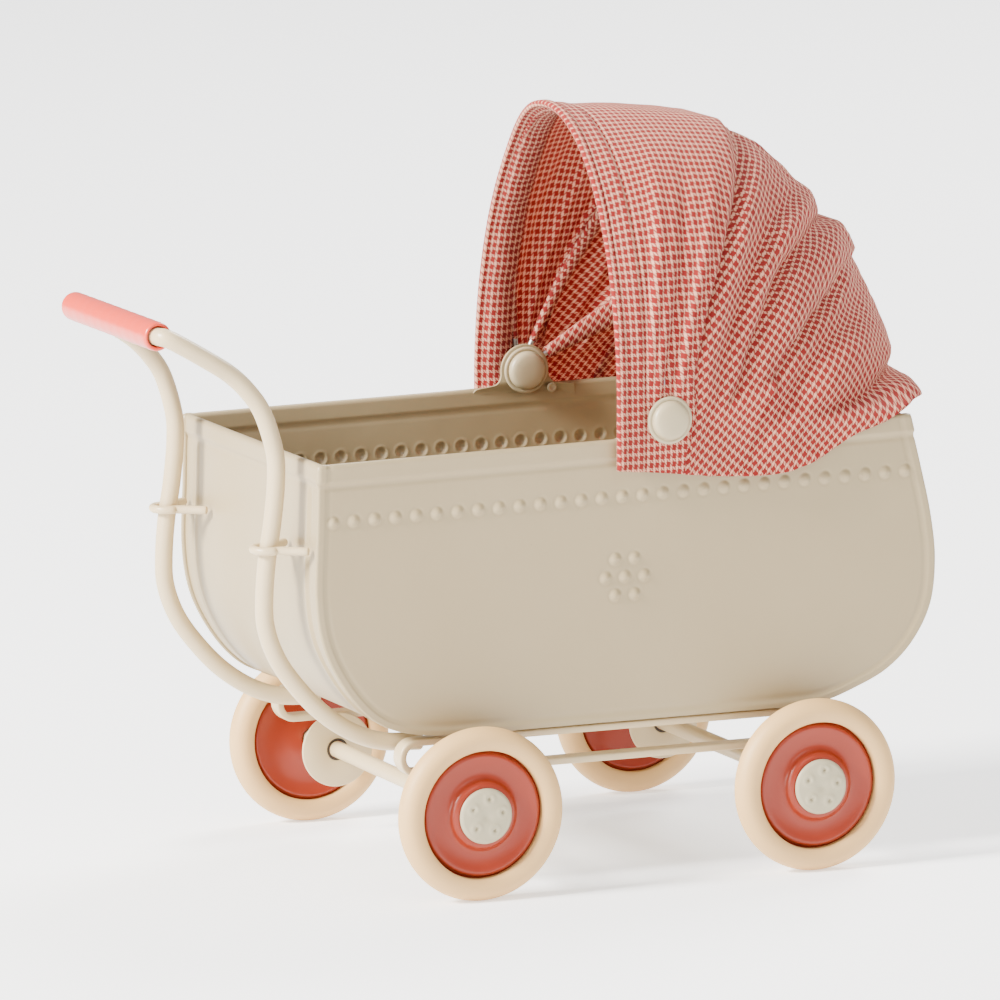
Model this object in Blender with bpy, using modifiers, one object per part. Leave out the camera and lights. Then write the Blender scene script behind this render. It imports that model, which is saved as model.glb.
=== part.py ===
"""A small doll pram in painted tin, with a wire push handle, strap springs, four wheels and a fabric hood.

Metres, +Z up. The pram stands on z = 0, -X is the handle end, +X the hood end, -Y the right side.
X positions below are given from the point midway between the two axles, and CENTRE_X moves them
so that the origin is the middle of the whole length.
"""

import math

import bmesh
import bpy
from mathutils import Matrix, Vector

# Overall
CENTRE_X = 0.01029
GAP = 0.0003
SIDES = {"right": -1, "left": 1}

# Wheels and axles
AXLE_X = 0.03027
AXLE_Z = 0.0145
AXLE_R = 0.0014
AXLE_HALF = 0.0382
WHEEL_Y = 0.0369
TYRE_R = 0.0145
TYRE_HALF_W = 0.0023
RIM_R = 0.0106
DISC_BORE_R = 0.0017
CAP_R = 0.00464
AXLES = {"rear": -AXLE_X, "front": AXLE_X}

# Strap springs and axle plates
STRAP_W = 0.0032
STRAP_T = 0.0012
STRAP_INNER_Y = 0.0250
STRAP_END_X = 0.0377
STRAP_MID_Z = 0.0228
STRAP_R = 0.00255
PLATE_R = 0.0064
PLATE_HOLE_R = 0.0019
PLATE_T = 0.0006

# Tub
TIN = 0.0006
TUB_HALF_W = 0.0297
RIM_Z = 0.0734
RIM_RISE = 0.0085
HEM_H = 0.0028
HEM_PROUD = 0.0004
HEM_FLARE = 0.0007
WRAP_INSET = 0.0002
OVERLAP = 0.0002
DOT_R = 0.0010
DOT_RISE = 0.00045
DOT_ROW_Z = 0.0642
DOT_ROW_X = (-0.0531, 0.0502)
DOT_COUNT = 29
FLOWER_AT = (-0.0010, 0.0507)
FLOWER_R = 0.0035

# Hood
PIVOT_X = 0.0062
PIVOT_Z = 0.07665
EAR_R = 0.0044
PIN_R = 0.00095
PIN_HOLE_R = 0.00105
RIVET_AT = (0.0112, 0.0733)
RIVET_HOLE_R = 0.00055
BRACKET_Y = 0.0280
BRACKET_T = 0.0005
BRACKET_X = (-0.0030, 0.0160)
BRACKET_FOOT = 0.0050
BRACKET_TOP_Z = 0.0744
BRACKET_LOW_Z = 0.0696
BUTTON_R = 0.0040
BUTTON_IN = 0.0277
BUTTON_OUT = 0.0316
BOW_WIRE_R = 0.00045
BOW_REACH = 0.04885
EYELET_R = 0.0019
EYELET_T = 0.0004
FABRIC_T = 0.0004
FABRIC_HOLE_R = 0.0047

# Handle
HANDLE_R = 0.0015
GRIP_R = 0.0024
GRIP_BORE_R = 0.0018
GRIP_HALF = 0.0190
GRIP_EDGE = 0.0003
GRIP_COUNTERSINK = 0.0012
GRIP_AT = (-0.0792, 0.0942)
CLIP_R = 0.0007
CLIP_Z = 0.0585
CLIP_AT_X = -0.0615
CLIP_END_X = -0.0567
CLIP_BEND_R = 0.0025
CLIP_SPLAY = 0.0050
HANDLE_Y = 0.0223

# The tub's side outline from the handle-end rim, round the bottom, to the hood-end rim: (x, z)
TUB_OUTLINE = [
    (-0.0553, 0.0729),
    (-0.0556, 0.0620),
    (-0.0559, 0.0510),
    (-0.0546, 0.0428),
    (-0.0511, 0.0358),
    (-0.0466, 0.0306),
    (-0.0419, 0.0280),
    (-0.0360, 0.0268),
    (-0.0270, 0.0265),
    (-0.0090, 0.0265),
    (0.0090, 0.0265),
    (0.0270, 0.0265),
    (0.0346, 0.0269),
    (0.0412, 0.0290),
    (0.0468, 0.0317),
    (0.0514, 0.0360),
    (0.0546, 0.0420),
    (0.0555, 0.0494),
    (0.0547, 0.0570),
    (0.0528, 0.0655),
    (0.0507, 0.0738),
]

# The handle wire's route on one side, from the grip's end down to its end under the tub: (x, |y|, z)
HANDLE_ROUTE = [
    (-0.0792, 0.0150, 0.0942),
    (-0.0791, 0.0186, 0.0942),
    (-0.0777, 0.0206, 0.0938),
    (-0.0721, 0.0214, 0.0905),
    (-0.0677, 0.0216, 0.0876),
    (-0.0646, 0.0219, 0.0845),
    (-0.0622, 0.0221, 0.0808),
    (-0.0603, 0.0223, 0.0745),
    (-0.0601, 0.0223, 0.0695),
    (-0.0608, 0.0223, 0.0628),
    (-0.0618, 0.0223, 0.0566),
    (-0.0623, 0.0223, 0.0505),
    (-0.0621, 0.0223, 0.0457),
    (-0.0604, 0.0223, 0.0407),
    (-0.0574, 0.0223, 0.0361),
    (-0.0525, 0.0223, 0.0308),
    (-0.0470, 0.0223, 0.0270),
    (-0.0415, 0.0223, 0.0250),
    (-0.0350, 0.0223, 0.0245),
]

# Bows: (name, angle above +X at rest in degrees, distance of its two eyes from the middle)
BOWS = [
    ("front", 96.6, 0.0310),
    ("middle", 64.7, 0.0301),
    ("rear", 29.2, 0.0292),
]

# Fabric of the hood, half width, reach and how square the section is, with angles above +X.
# The front panel runs from an upright hem to its rear angle, and hangs below the pivots as a flap.
FRONT_PANEL = (0.0316, 0.0495, 2.0)
FRONT_PANEL_REAR = 65.8
FRONT_HEM_X = -0.0028
FRONT_HEM_LEAN = 0.0009
FLAP_Z = 0.0688
FLAP_HEIGHTS = (FLAP_Z, 0.0722, 0.0760, 0.0795)
FLAP_REAR_X = 0.0032
BUTTON_TURNS = (215.0, 160.0, 110.0)
MIDDLE_PANEL = (0.0322, 0.0508, 2.3)
MIDDLE_PANEL_SPAN = (64.7, 34.5)
# The rear panel is fixed to the tub, and its section grows squarer downwards.
REAR_PANEL_SPAN = (36.0, -1.5)
REAR_PANEL = (0.0328, 0.0516)
REAR_PANEL_POWER = (2.4, 4.0)
REAR_FLARE = 0.055
# How far the hem hangs below the rear panel's edge, and the x where it hangs lower beside and behind the tub.
HEM_DROP = 0.0009
SIDE_DROP = 0.0068
SIDE_DROP_X = (0.0220, 0.0350)
BACK_DROP = 0.0010
BACK_DROP_X = (0.0530, 0.0560)

# Points across and down the fabric
PANEL_POINTS = 21
REAR_PANEL_POINTS = 25
FRONT_ROWS = 6
MIDDLE_ROWS = 5
REAR_ROWS = 6

for old in list(bpy.data.objects):
    bpy.data.objects.remove(old, do_unlink=True)

pram = bpy.data.collections.new("doll_pram")
cutters = bpy.data.collections.new("doll_pram_cutters")
for collection in (pram, cutters):
    bpy.context.scene.collection.children.link(collection)


# ---- materials ----


def material(name, colour, roughness, metallic=0.0):
    made = bpy.data.materials.new(name)
    made.use_nodes = True
    shader = made.node_tree.nodes["Principled BSDF"]
    shader.inputs["Base Color"].default_value = (*colour, 1.0)
    shader.inputs["Roughness"].default_value = roughness
    shader.inputs["Metallic"].default_value = metallic
    return made


CREAM_TIN = material("cream_tin", (0.68, 0.63, 0.52), 0.38)
CREAM_WIRE = material("cream_wire", (0.70, 0.65, 0.53), 0.35)
CREAM_TYRE = material("cream_tyre", (0.74, 0.62, 0.45), 0.5)
CORAL_TIN = material("coral_tin", (0.55, 0.12, 0.07), 0.22)
PINK_GRIP = material("pink_grip", (0.72, 0.24, 0.17), 0.28)
CAP_GREY = material("cap_grey", (0.60, 0.57, 0.50), 0.4)
STEEL = material("steel", (0.55, 0.55, 0.55), 0.35, 1.0)
CHECK_FABRIC = material("check_fabric", (0.62, 0.20, 0.18), 0.9)


# ---- building tools ----


def world(x, y, z):
    """A point whose x is counted from midway between the axles."""
    return Vector((x + CENTRE_X, y, z))


def link(name, data, look, collection=pram):
    made = bpy.data.objects.new(name, data)
    collection.objects.link(made)
    if look:
        data.materials.append(look)
    return made


def shade(mesh, degrees=35):
    mesh.shade_smooth()
    mesh.set_sharp_from_angle(angle=math.radians(degrees))


def through(points, steps):
    """A smooth line through the given points, with the given number of steps between each two."""
    line = []
    for i in range(len(points) - 1):
        here, after = Vector(points[i]), Vector(points[i + 1])
        before = Vector(points[i - 1]) if i else 2 * here - after
        beyond = Vector(points[i + 2]) if i + 2 < len(points) else 2 * after - here
        for k in range(steps):
            t = k / steps
            straight = (after - before) * t + (2 * before - 5 * here + 4 * after - beyond) * t**2
            line.append(here + 0.5 * (straight + (3 * here - before - 3 * after + beyond) * t**3))
    line.append(Vector(points[-1]))
    return line


def wire(name, points, radius, look, roundness=2):
    """A round wire along the points. Its section has 4 + 2 * roundness sides."""
    curve = bpy.data.curves.new(name, "CURVE")
    curve.dimensions = "3D"
    curve.bevel_depth = radius
    curve.bevel_resolution = roundness
    curve.use_fill_caps = True
    spline = curve.splines.new("POLY")
    spline.points.add(len(points) - 1)
    for made, point in zip(spline.points, points):
        made.co = (*point, 1.0)
    return link(name, curve, look)


def plate(name, outlines, thickness, look, y):
    """A flat sheet standing in the XZ plane, centred on y. The first outline is its edge, the others are holes."""
    curve = bpy.data.curves.new(name, "CURVE")
    curve.dimensions = "2D"
    curve.fill_mode = "BOTH"
    curve.extrude = thickness / 2
    for outline in outlines:
        spline = curve.splines.new("POLY")
        spline.points.add(len(outline) - 1)
        for made, (x, z) in zip(spline.points, outline):
            made.co = (x + CENTRE_X, z, 0.0, 1.0)
        spline.use_cyclic_u = True
    made = link(name, curve, look)
    made.location = (0.0, y, 0.0)
    made.rotation_euler = (math.pi / 2, 0.0, 0.0)
    return made


def as_mesh(obj):
    """The same object as a closed mesh, so that it can be cut or joined."""
    bpy.context.view_layer.update()
    evaluated = obj.evaluated_get(bpy.context.evaluated_depsgraph_get())
    mesh = bpy.data.meshes.new_from_object(evaluated)
    welded = bmesh.new()
    welded.from_mesh(mesh)
    bmesh.ops.remove_doubles(welded, verts=welded.verts, dist=1e-6)
    welded.to_mesh(mesh)
    welded.free()
    name, place = obj.name, obj.matrix_world.copy()
    collection = obj.users_collection[0]
    bpy.data.objects.remove(obj, do_unlink=True)
    mesh.name = name
    made = bpy.data.objects.new(name, mesh)
    made.matrix_world = place
    collection.objects.link(made)
    shade(mesh)
    return made


def circle(centre, radius, count, first=0.0, last=360.0):
    """Points on an arc in the XZ plane, angles in degrees from +X towards +Z."""
    whole = abs(last - first) >= 360.0
    steps = count if whole else count - 1
    angles = [math.radians(first + (last - first) * i / steps) for i in range(count)]
    return [(centre[0] + radius * math.cos(a), centre[1] + radius * math.sin(a)) for a in angles]


def turned(name, profile, steps, look, centre, outward, closed=False):
    """A solid of revolution about Y. The profile is (radius, distance outward), from its outer end inward."""
    mesh = bpy.data.meshes.new(name)
    shape = bmesh.new()
    verts = [shape.verts.new((radius, 0.0, height)) for radius, height in profile]
    for a, b in zip(verts, verts[1:]):
        shape.edges.new((a, b))
    if closed:
        shape.edges.new((verts[-1], verts[0]))
    shape.to_mesh(mesh)
    shape.free()
    made = link(name, mesh, look)
    made.location = centre
    made.rotation_euler = (-outward * math.pi / 2, 0.0, 0.0)
    screw = made.modifiers.new("turn", "SCREW")
    screw.steps = steps
    screw.render_steps = steps
    screw.use_merge_vertices = True
    screw.merge_threshold = 1e-6
    screw.use_smooth_shade = True
    return made


def rim_z(x):
    """Height of the rim, which climbs slightly towards the hood end."""
    return RIM_Z + RIM_RISE * x


def rim_strip(name, low, high):
    """A helper block between two corners, given at x = 0 and sloped like the rim."""
    mesh = bpy.data.meshes.new(name)
    shape = bmesh.new()
    size = high - low
    slope = Matrix.Identity(4)
    slope[2][0] = RIM_RISE
    slope[2][3] = -RIM_RISE * CENTRE_X
    place = slope @ Matrix.Translation((high + low) / 2) @ Matrix.Diagonal((*size, 1.0))
    bmesh.ops.create_cube(shape, size=1.0, matrix=place)
    shape.to_mesh(mesh)
    shape.free()
    return hide(link(name, mesh, None, cutters))


def hide(obj):
    """Keeps a helper out of the finished object."""
    obj.hide_render = True
    obj.display_type = "WIRE"
    return obj


def combine(obj, other, operation, name):
    """Joins the helper to the object, or cuts it away."""
    step = obj.modifiers.new(name, "BOOLEAN")
    step.operation = operation
    step.object = other
    step.solver = "EXACT"


# ---- wheels, axles ----

TYRE_PROFILE = [
    (0.0109, 0.0019),
    (0.0122, TYRE_HALF_W),
    (0.0134, 0.00198),
    (0.0142, 0.0012),
    (TYRE_R, 0.0),
    (0.0142, -0.0012),
    (0.0134, -0.00198),
    (0.0122, -TYRE_HALF_W),
    (0.0109, -0.0019),
]
DISC_PROFILE = [
    (DISC_BORE_R, 0.0019),
    (0.0044, 0.0019),
    (0.0062, 0.0005),
    (0.0083, 0.0005),
    (0.0091, 0.0010),
    (0.0098, 0.0006),
    (RIM_R, 0.0010),
    (RIM_R, -0.0010),
    (0.0060, -0.0006),
    (DISC_BORE_R, -0.0014),
]
CAP_PROFILE = [
    (0.0, 0.0029),
    (0.0030, 0.0027),
    (CAP_R, 0.0022),
    (0.0, 0.0022),
]

for end, axle_x in AXLES.items():
    centre = world(axle_x, 0.0, AXLE_Z)
    turned(
        f"{end}_axle",
        [(0.0, AXLE_HALF), (AXLE_R, AXLE_HALF), (AXLE_R, -AXLE_HALF), (0.0, -AXLE_HALF)],
        16,
        CREAM_WIRE,
        centre,
        1,
    )
    for side, sign in SIDES.items():
        centre = world(axle_x, sign * WHEEL_Y, AXLE_Z)
        turned(f"{end}_{side}_tyre", TYRE_PROFILE, 32, CREAM_TYRE, centre, sign, closed=True)
        turned(f"{end}_{side}_wheel_disc", DISC_PROFILE, 24, CORAL_TIN, centre, sign, closed=True)
        turned(f"{end}_{side}_hub_cap", CAP_PROFILE, 18, CAP_GREY, centre, sign)


# ---- strap springs: one flat strap on each side, bent to a closed loop under the tub ----


def strap_loop(grow):
    """The strap's outline at half its thickness in or out of its middle line."""
    radius = STRAP_R + grow
    hood_end = circle((STRAP_END_X, STRAP_MID_Z), radius, 9, -90.0, 90.0)
    handle_end = circle((-STRAP_END_X, STRAP_MID_Z), radius, 9, 90.0, 270.0)
    return hood_end + handle_end


for side, sign in SIDES.items():
    middle_y = sign * (STRAP_INNER_Y + STRAP_W / 2)
    loops = [strap_loop(STRAP_T / 2), strap_loop(-STRAP_T / 2)]
    plate(f"{side}_spring_strap", loops, STRAP_W, CREAM_WIRE, middle_y)
    for end, axle_x in AXLES.items():
        discs = [
            circle((axle_x, AXLE_Z), PLATE_R, 24),
            circle((axle_x, AXLE_Z), PLATE_HOLE_R, 12),
        ]
        plate_y = sign * (STRAP_INNER_Y - GAP - PLATE_T / 2)
        plate(f"{end}_{side}_axle_plate", discs, PLATE_T, CREAM_WIRE, plate_y)


# ---- tub: two side panels with pressed dots, and one sheet wrapped round the ends and bottom ----

outline = [(p.x, p.y) for p in through([(x, z) + (0.0,) for x, z in TUB_OUTLINE], 2)]


def offset(line, distance):
    """The line moved towards the tub's inside."""
    moved = []
    for i, (x, z) in enumerate(line):
        a = Vector(line[max(i - 1, 0)])
        b = Vector(line[min(i + 1, len(line) - 1)])
        along = (b - a).normalized()
        moved.append((x - along.y * distance, z + along.x * distance))
    return moved


def dot_places():
    """Centres of the pressed dots: one row under the rim, and a flower of seven."""
    first, last = DOT_ROW_X
    step = (last - first) / (DOT_COUNT - 1)
    row = [(first + step * i, DOT_ROW_Z) for i in range(DOT_COUNT)]
    return row + [FLOWER_AT] + circle(FLOWER_AT, FLOWER_R, 6)


def dot_domes(name, surface_y):
    """All the dots of one side, as flattened balls sunk halfway into the panel."""
    mesh = bpy.data.meshes.new(name)
    shape = bmesh.new()
    for x, z in dot_places():
        place = Matrix.Translation(world(x, surface_y, z))
        squashed = Matrix.Diagonal((DOT_R, DOT_RISE, DOT_R, 1.0)) @ Matrix.Rotation(math.pi / 2, 4, "X")
        bmesh.ops.create_uvsphere(shape, u_segments=6, v_segments=4, radius=1.0, matrix=place @ squashed)
    shape.to_mesh(mesh)
    shape.free()
    return hide(link(name, mesh, None, cutters))


for side, sign in SIDES.items():
    panel_y = sign * (TUB_HALF_W - TIN / 2)
    panel = as_mesh(plate(f"side_panel_{side}", [outline], TIN, CREAM_TIN, panel_y))
    edge_y = sorted((sign * (TUB_HALF_W - TIN / 2), sign * (TUB_HALF_W + HEM_PROUD)))
    hem = rim_strip(
        f"hem_{side}",
        world(outline[0][0] + TIN, edge_y[0], RIM_Z - HEM_H),
        world(outline[-1][0] - TIN, edge_y[1], RIM_Z + OVERLAP),
    )
    combine(panel, hem, "UNION", "rolled_hem")
    combine(panel, dot_domes(f"dots_{side}", sign * TUB_HALF_W), "UNION", "pressed_dots")

# The wrapped sheet lies just inside the side panels' edges, and its ends are hemmed outwards.
wrap_outer = offset(outline, WRAP_INSET)
wrap_inner = offset(outline, WRAP_INSET + TIN)
handle_rim, hood_rim = wrap_outer[0], wrap_outer[-1]
handle_hem = [
    (handle_rim[0] - HEM_PROUD, handle_rim[1]),
    (handle_rim[0] - HEM_PROUD, handle_rim[1] - HEM_H),
]
hood_hem = [
    (hood_rim[0] + HEM_PROUD + HEM_FLARE, hood_rim[1] - HEM_H),
    (hood_rim[0] + HEM_PROUD, hood_rim[1]),
]
below_hem = [(x, z) for x, z in wrap_outer if z < rim_z(x) - HEM_H - OVERLAP]
wrap_width = 2 * (TUB_HALF_W - TIN - GAP)
wrap_outline = handle_hem + below_hem + hood_hem + wrap_inner[::-1]
plate("tub_wrap", [wrap_outline], wrap_width, CREAM_TIN, 0.0)


# ---- hood brackets, rivets, pivot pins and buttons ----

DOMED_BUTTON = [
    (0.0, 0.0017),
    (0.0020, 0.0015),
    (0.00335, 0.0005),
    (BUTTON_R, 0.0004),
    (BUTTON_R, 0.0),
    (0.0, 0.0),
]


def bracket_outline():
    """A strip along the rim with a round ear standing up from it."""
    ear = circle((PIVOT_X, PIVOT_Z), EAR_R, 17, -22.0, 202.0)
    first, last = BRACKET_X
    strip = [(first, BRACKET_TOP_Z), (first, BRACKET_LOW_Z), (last, BRACKET_LOW_Z), (last, BRACKET_TOP_Z)]
    foot_hood, foot_handle = (PIVOT_X + side * BRACKET_FOOT for side in (1, -1))
    return strip + [(foot_hood, BRACKET_TOP_Z)] + ear + [(foot_handle, BRACKET_TOP_Z)]


for side, sign in SIDES.items():
    holes = [
        circle((PIVOT_X, PIVOT_Z), PIN_HOLE_R, 16),
        circle(RIVET_AT, RIVET_HOLE_R, 10),
    ]
    middle_y = sign * (BRACKET_Y + BRACKET_T / 2)
    plate(f"hood_bracket_{side}", [bracket_outline()] + holes, BRACKET_T, CREAM_TIN, middle_y)
    head_y = sign * (BRACKET_Y - GAP)
    turned(
        f"bracket_rivet_{side}",
        [(0.0, 0.0005), (0.0005, 0.0004), (0.0008, 0.0), (0.00045, 0.0), (0.00045, -0.0009), (0.0, -0.0009)],
        10,
        STEEL,
        world(RIVET_AT[0], head_y, RIVET_AT[1]),
        -sign,
    )
    pin_ends = (BUTTON_IN + GAP, BUTTON_OUT - GAP)
    turned(
        f"pivot_pin_{side}",
        [(0.0, pin_ends[1]), (PIN_R, pin_ends[1]), (PIN_R, pin_ends[0]), (0.0, pin_ends[0])],
        16,
        STEEL,
        world(PIVOT_X, 0.0, PIVOT_Z),
        sign,
    )
    for place, base, facing in (("outer", BUTTON_OUT, sign), ("inner", BUTTON_IN, -sign)):
        turned(
            f"{place}_button_{side}",
            DOMED_BUTTON,
            18,
            CREAM_TIN,
            world(PIVOT_X, sign * base, PIVOT_Z),
            facing,
        )


# ---- hood bows: half ellipses of wire, with a flat eye at each end on the pivot pins ----


def on_hood(degrees, reach, y):
    """A point at a distance from the pivots' axis, at an angle above +X."""
    angle = math.radians(degrees)
    return world(PIVOT_X + reach * math.cos(angle), y, PIVOT_Z + reach * math.sin(angle))


def disc(name, radius, thickness, y, segments):
    """A helper disc on the pivots' axis."""
    mesh = bpy.data.meshes.new(name)
    shape = bmesh.new()
    place = Matrix.Translation(world(PIVOT_X, y, PIVOT_Z)) @ Matrix.Rotation(math.pi / 2, 4, "X")
    bmesh.ops.create_cone(
        shape,
        cap_ends=True,
        segments=segments,
        radius1=radius,
        radius2=radius,
        depth=thickness,
        matrix=place,
    )
    shape.to_mesh(mesh)
    shape.free()
    return hide(link(name, mesh, None, cutters))


pivot = bpy.data.objects.new("hood_pivot", None)
pivot.location = world(PIVOT_X, 0.0, PIVOT_Z)
pram.objects.link(pivot)


def hang(obj):
    """Parents a piece to the empty on the pivots' axis, without moving it."""
    obj.parent = pivot
    obj.matrix_parent_inverse = Matrix.Translation(-pivot.location)


for name, degrees, eye_y in BOWS:
    start = math.asin(1.2 * PIN_HOLE_R / BOW_REACH)
    steps = 22
    angles = [start + (math.pi - 2 * start) * i / steps for i in range(steps + 1)]
    arc = [on_hood(degrees, BOW_REACH * math.sin(a), eye_y * math.cos(a)) for a in angles]
    bow = as_mesh(wire(f"{name}_bow", arc, BOW_WIRE_R, STEEL, roundness=1))
    for side, sign in SIDES.items():
        eye = disc(f"{name}_eye_{side}", EYELET_R, EYELET_T, sign * eye_y, 14)
        combine(bow, eye, "UNION", f"eye_{side}")
    for side, sign in SIDES.items():
        hole = disc(f"{name}_hole_{side}", PIN_HOLE_R, 4 * EYELET_T, sign * eye_y, 12)
        combine(bow, hole, "DIFFERENCE", f"hole_{side}")
    hang(bow)


# ---- hood fabric: three sheets that slide over each other when the bows fold back ----


def section(half_width, reach, power, count):
    """Evenly spaced (distance from the axis, y) along one rounded section, from the left to the right."""
    fine = 2000
    line = []
    for i in range(fine + 1):
        a = math.pi * i / fine
        across = math.copysign(abs(math.cos(a)) ** (2 / power), math.cos(a))
        line.append(Vector((reach * math.sin(a) ** (2 / power), half_width * across)))
    line = [p for p in line if p.x >= FABRIC_HOLE_R]
    walked = [0.0]
    for a, b in zip(line, line[1:]):
        walked.append(walked[-1] + (b - a).length)
    evenly, k = [], 0
    for i in range(count):
        target = walked[-1] * i / (count - 1)
        while k < len(line) - 2 and walked[k + 1] < target:
            k += 1
        t = (target - walked[k]) / (walked[k + 1] - walked[k])
        evenly.append(line[k].lerp(line[k + 1], t))
    return evenly


def sheet(name, rows):
    """A sheet through rows of points, thickened outwards."""
    mesh = bpy.data.meshes.new(name)
    shape = bmesh.new()
    grid = [[shape.verts.new(point) for point in row] for row in rows]
    for upper, lower in zip(grid, grid[1:]):
        for i in range(len(upper) - 1):
            shape.faces.new((upper[i], lower[i], lower[i + 1], upper[i + 1]))
    bmesh.ops.recalc_face_normals(shape, faces=shape.faces)
    centre = world(PIVOT_X, 0.0, PIVOT_Z)
    if sum((f.calc_center_median() - centre).dot(f.normal) for f in shape.faces) < 0:
        bmesh.ops.reverse_faces(shape, faces=shape.faces)
    shape.to_mesh(mesh)
    shape.free()
    shade(mesh, 60)
    made = link(name, mesh, CHECK_FABRIC)
    thick = made.modifiers.new("cloth", "SOLIDIFY")
    thick.thickness = FABRIC_T
    thick.offset = 1.0
    return made


def turn_of(x, z):
    """Angle above +X and distance from the pivots' axis of a point in the XZ plane."""
    return math.degrees(math.atan2(z - PIVOT_Z, x - PIVOT_X)) % 360.0, math.hypot(x - PIVOT_X, z - PIVOT_Z)


def front_edges(sign):
    """One side's points beside and below the pivot: on the front hem, and round the button, upwards."""
    half_width = sign * FRONT_PANEL[0]
    hem = [(*turn_of(FRONT_HEM_X, z), half_width) for z in FLAP_HEIGHTS]
    low = turn_of(FLAP_REAR_X, FLAP_Z)
    button = [(*low, half_width)] + [(t, FABRIC_HOLE_R, half_width) for t in BUTTON_TURNS]
    return list(zip(hem, button))


def front_pairs():
    """Pairs of (angle, distance, y) on the front hem and on the panel's rear edge, left to right."""
    half_width, reach, power = FRONT_PANEL
    over = []
    for p in section(half_width, reach, power, PANEL_POINTS):
        height = p.x / reach
        hem = turn_of(FRONT_HEM_X + FRONT_HEM_LEAN * height, PIVOT_Z + (reach + 0.0001) * height)
        over.append(((*hem, p.y), (FRONT_PANEL_REAR, p.x, p.y)))
    return front_edges(1) + over + front_edges(-1)[::-1]


rows = []
for i in range(FRONT_ROWS):
    back = i / (FRONT_ROWS - 1)
    row = [[a + (b - a) * back for a, b in zip(hem, rear)] for hem, rear in front_pairs()]
    rows.append([on_hood(turn, away, y) for turn, away, y in row])
hang(sheet("hood_front_panel", rows))

points = section(*MIDDLE_PANEL, PANEL_POINTS)
first, last = MIDDLE_PANEL_SPAN
turns = [first + (last - first) * i / (MIDDLE_ROWS - 1) for i in range(MIDDLE_ROWS)]
hang(sheet("hood_middle_panel", [[on_hood(t, p.x, p.y) for p in points] for t in turns]))


def share_of(x, first, last):
    """0 at the first x and before, 1 at the last and after."""
    return max(0.0, min(1.0, (x - first) / (last - first)))


def skirt_drop(x):
    """How far the hem hangs below the rear panel's edge: long beside the tub, short over its corners."""
    beside = 1.0 - share_of(x, *SIDE_DROP_X)
    behind = share_of(x, *BACK_DROP_X)
    return HEM_DROP + SIDE_DROP * beside + BACK_DROP * behind


first, last = REAR_PANEL_SPAN
half_width, reach = REAR_PANEL
power_high, power_low = REAR_PANEL_POWER
rows = []
for i in range(REAR_ROWS):
    down = i / (REAR_ROWS - 1)
    power = power_high + (power_low - power_high) * down
    flare = REAR_FLARE * max(0.0, (down - 0.5) / 0.5) ** 1.5
    row = []
    for p in section(half_width, reach, power, REAR_PANEL_POINTS):
        away = p.x * (1 + flare * (p.x / reach) ** 6)
        row.append(on_hood(first + (last - first) * down, away, p.y))
    rows.append(row)
rows.append([Vector((p.x, p.y, p.z - skirt_drop(p.x - CENTRE_X))) for p in rows[-1]])
sheet("hood_rear_panel", rows)


# ---- push handle ----

left_side = through(HANDLE_ROUTE, 2)
right_side = [Vector((p.x, -p.y, p.z)) for p in left_side]
route = [p + Vector((CENTRE_X, 0.0, 0.0)) for p in left_side[::-1] + right_side]
wire("handle_wire", route, HANDLE_R, CREAM_WIRE)

turned(
    "handle_grip",
    [
        (GRIP_BORE_R, GRIP_HALF - GRIP_COUNTERSINK),
        (GRIP_R - GRIP_EDGE, GRIP_HALF),
        (GRIP_R, GRIP_HALF - GRIP_EDGE),
        (GRIP_R, -GRIP_HALF + GRIP_EDGE),
        (GRIP_R - GRIP_EDGE, -GRIP_HALF),
        (GRIP_BORE_R, -GRIP_HALF + GRIP_COUNTERSINK),
    ],
    24,
    PINK_GRIP,
    world(GRIP_AT[0], 0.0, GRIP_AT[1]),
    1,
    closed=True,
)

for side, sign in SIDES.items():
    bend = circle((CLIP_AT_X, sign * HANDLE_Y), CLIP_BEND_R, 9, 70.0, 290.0)
    legs_in = [(CLIP_END_X, sign * HANDLE_Y + CLIP_SPLAY)]
    legs_out = [(CLIP_END_X, sign * HANDLE_Y - CLIP_SPLAY)]
    points = [world(x, y, CLIP_Z) for x, y in legs_in + bend + legs_out]
    wire(f"handle_clip_{side}", points, CLIP_R, CREAM_WIRE)

bpy.context.view_layer.update()
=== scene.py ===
import math

import bmesh
import bpy
import numpy as np
from mathutils import Matrix, Vector


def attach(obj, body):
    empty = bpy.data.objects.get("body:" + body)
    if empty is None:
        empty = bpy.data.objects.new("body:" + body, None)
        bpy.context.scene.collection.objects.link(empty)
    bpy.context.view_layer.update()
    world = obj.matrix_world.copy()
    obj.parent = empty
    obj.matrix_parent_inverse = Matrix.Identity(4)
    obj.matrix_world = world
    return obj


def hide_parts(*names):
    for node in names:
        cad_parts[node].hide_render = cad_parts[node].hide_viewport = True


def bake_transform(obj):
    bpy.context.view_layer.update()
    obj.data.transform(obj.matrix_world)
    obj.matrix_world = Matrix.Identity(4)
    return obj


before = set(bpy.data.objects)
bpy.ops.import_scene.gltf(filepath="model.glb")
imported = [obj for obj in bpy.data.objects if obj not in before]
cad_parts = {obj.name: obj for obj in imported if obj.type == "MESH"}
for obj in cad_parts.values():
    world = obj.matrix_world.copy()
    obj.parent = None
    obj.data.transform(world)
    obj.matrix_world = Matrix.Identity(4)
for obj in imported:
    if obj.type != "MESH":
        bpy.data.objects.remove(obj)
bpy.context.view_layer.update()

CENTRE_X = 0.01029
MM = 0.001
SIDES = {"right": -1, "left": 1}

PIVOT_X, PIVOT_Z = 6.2, 76.65


# ---- shapes, all in millimetres with x counted from midway between the axles ----


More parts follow.
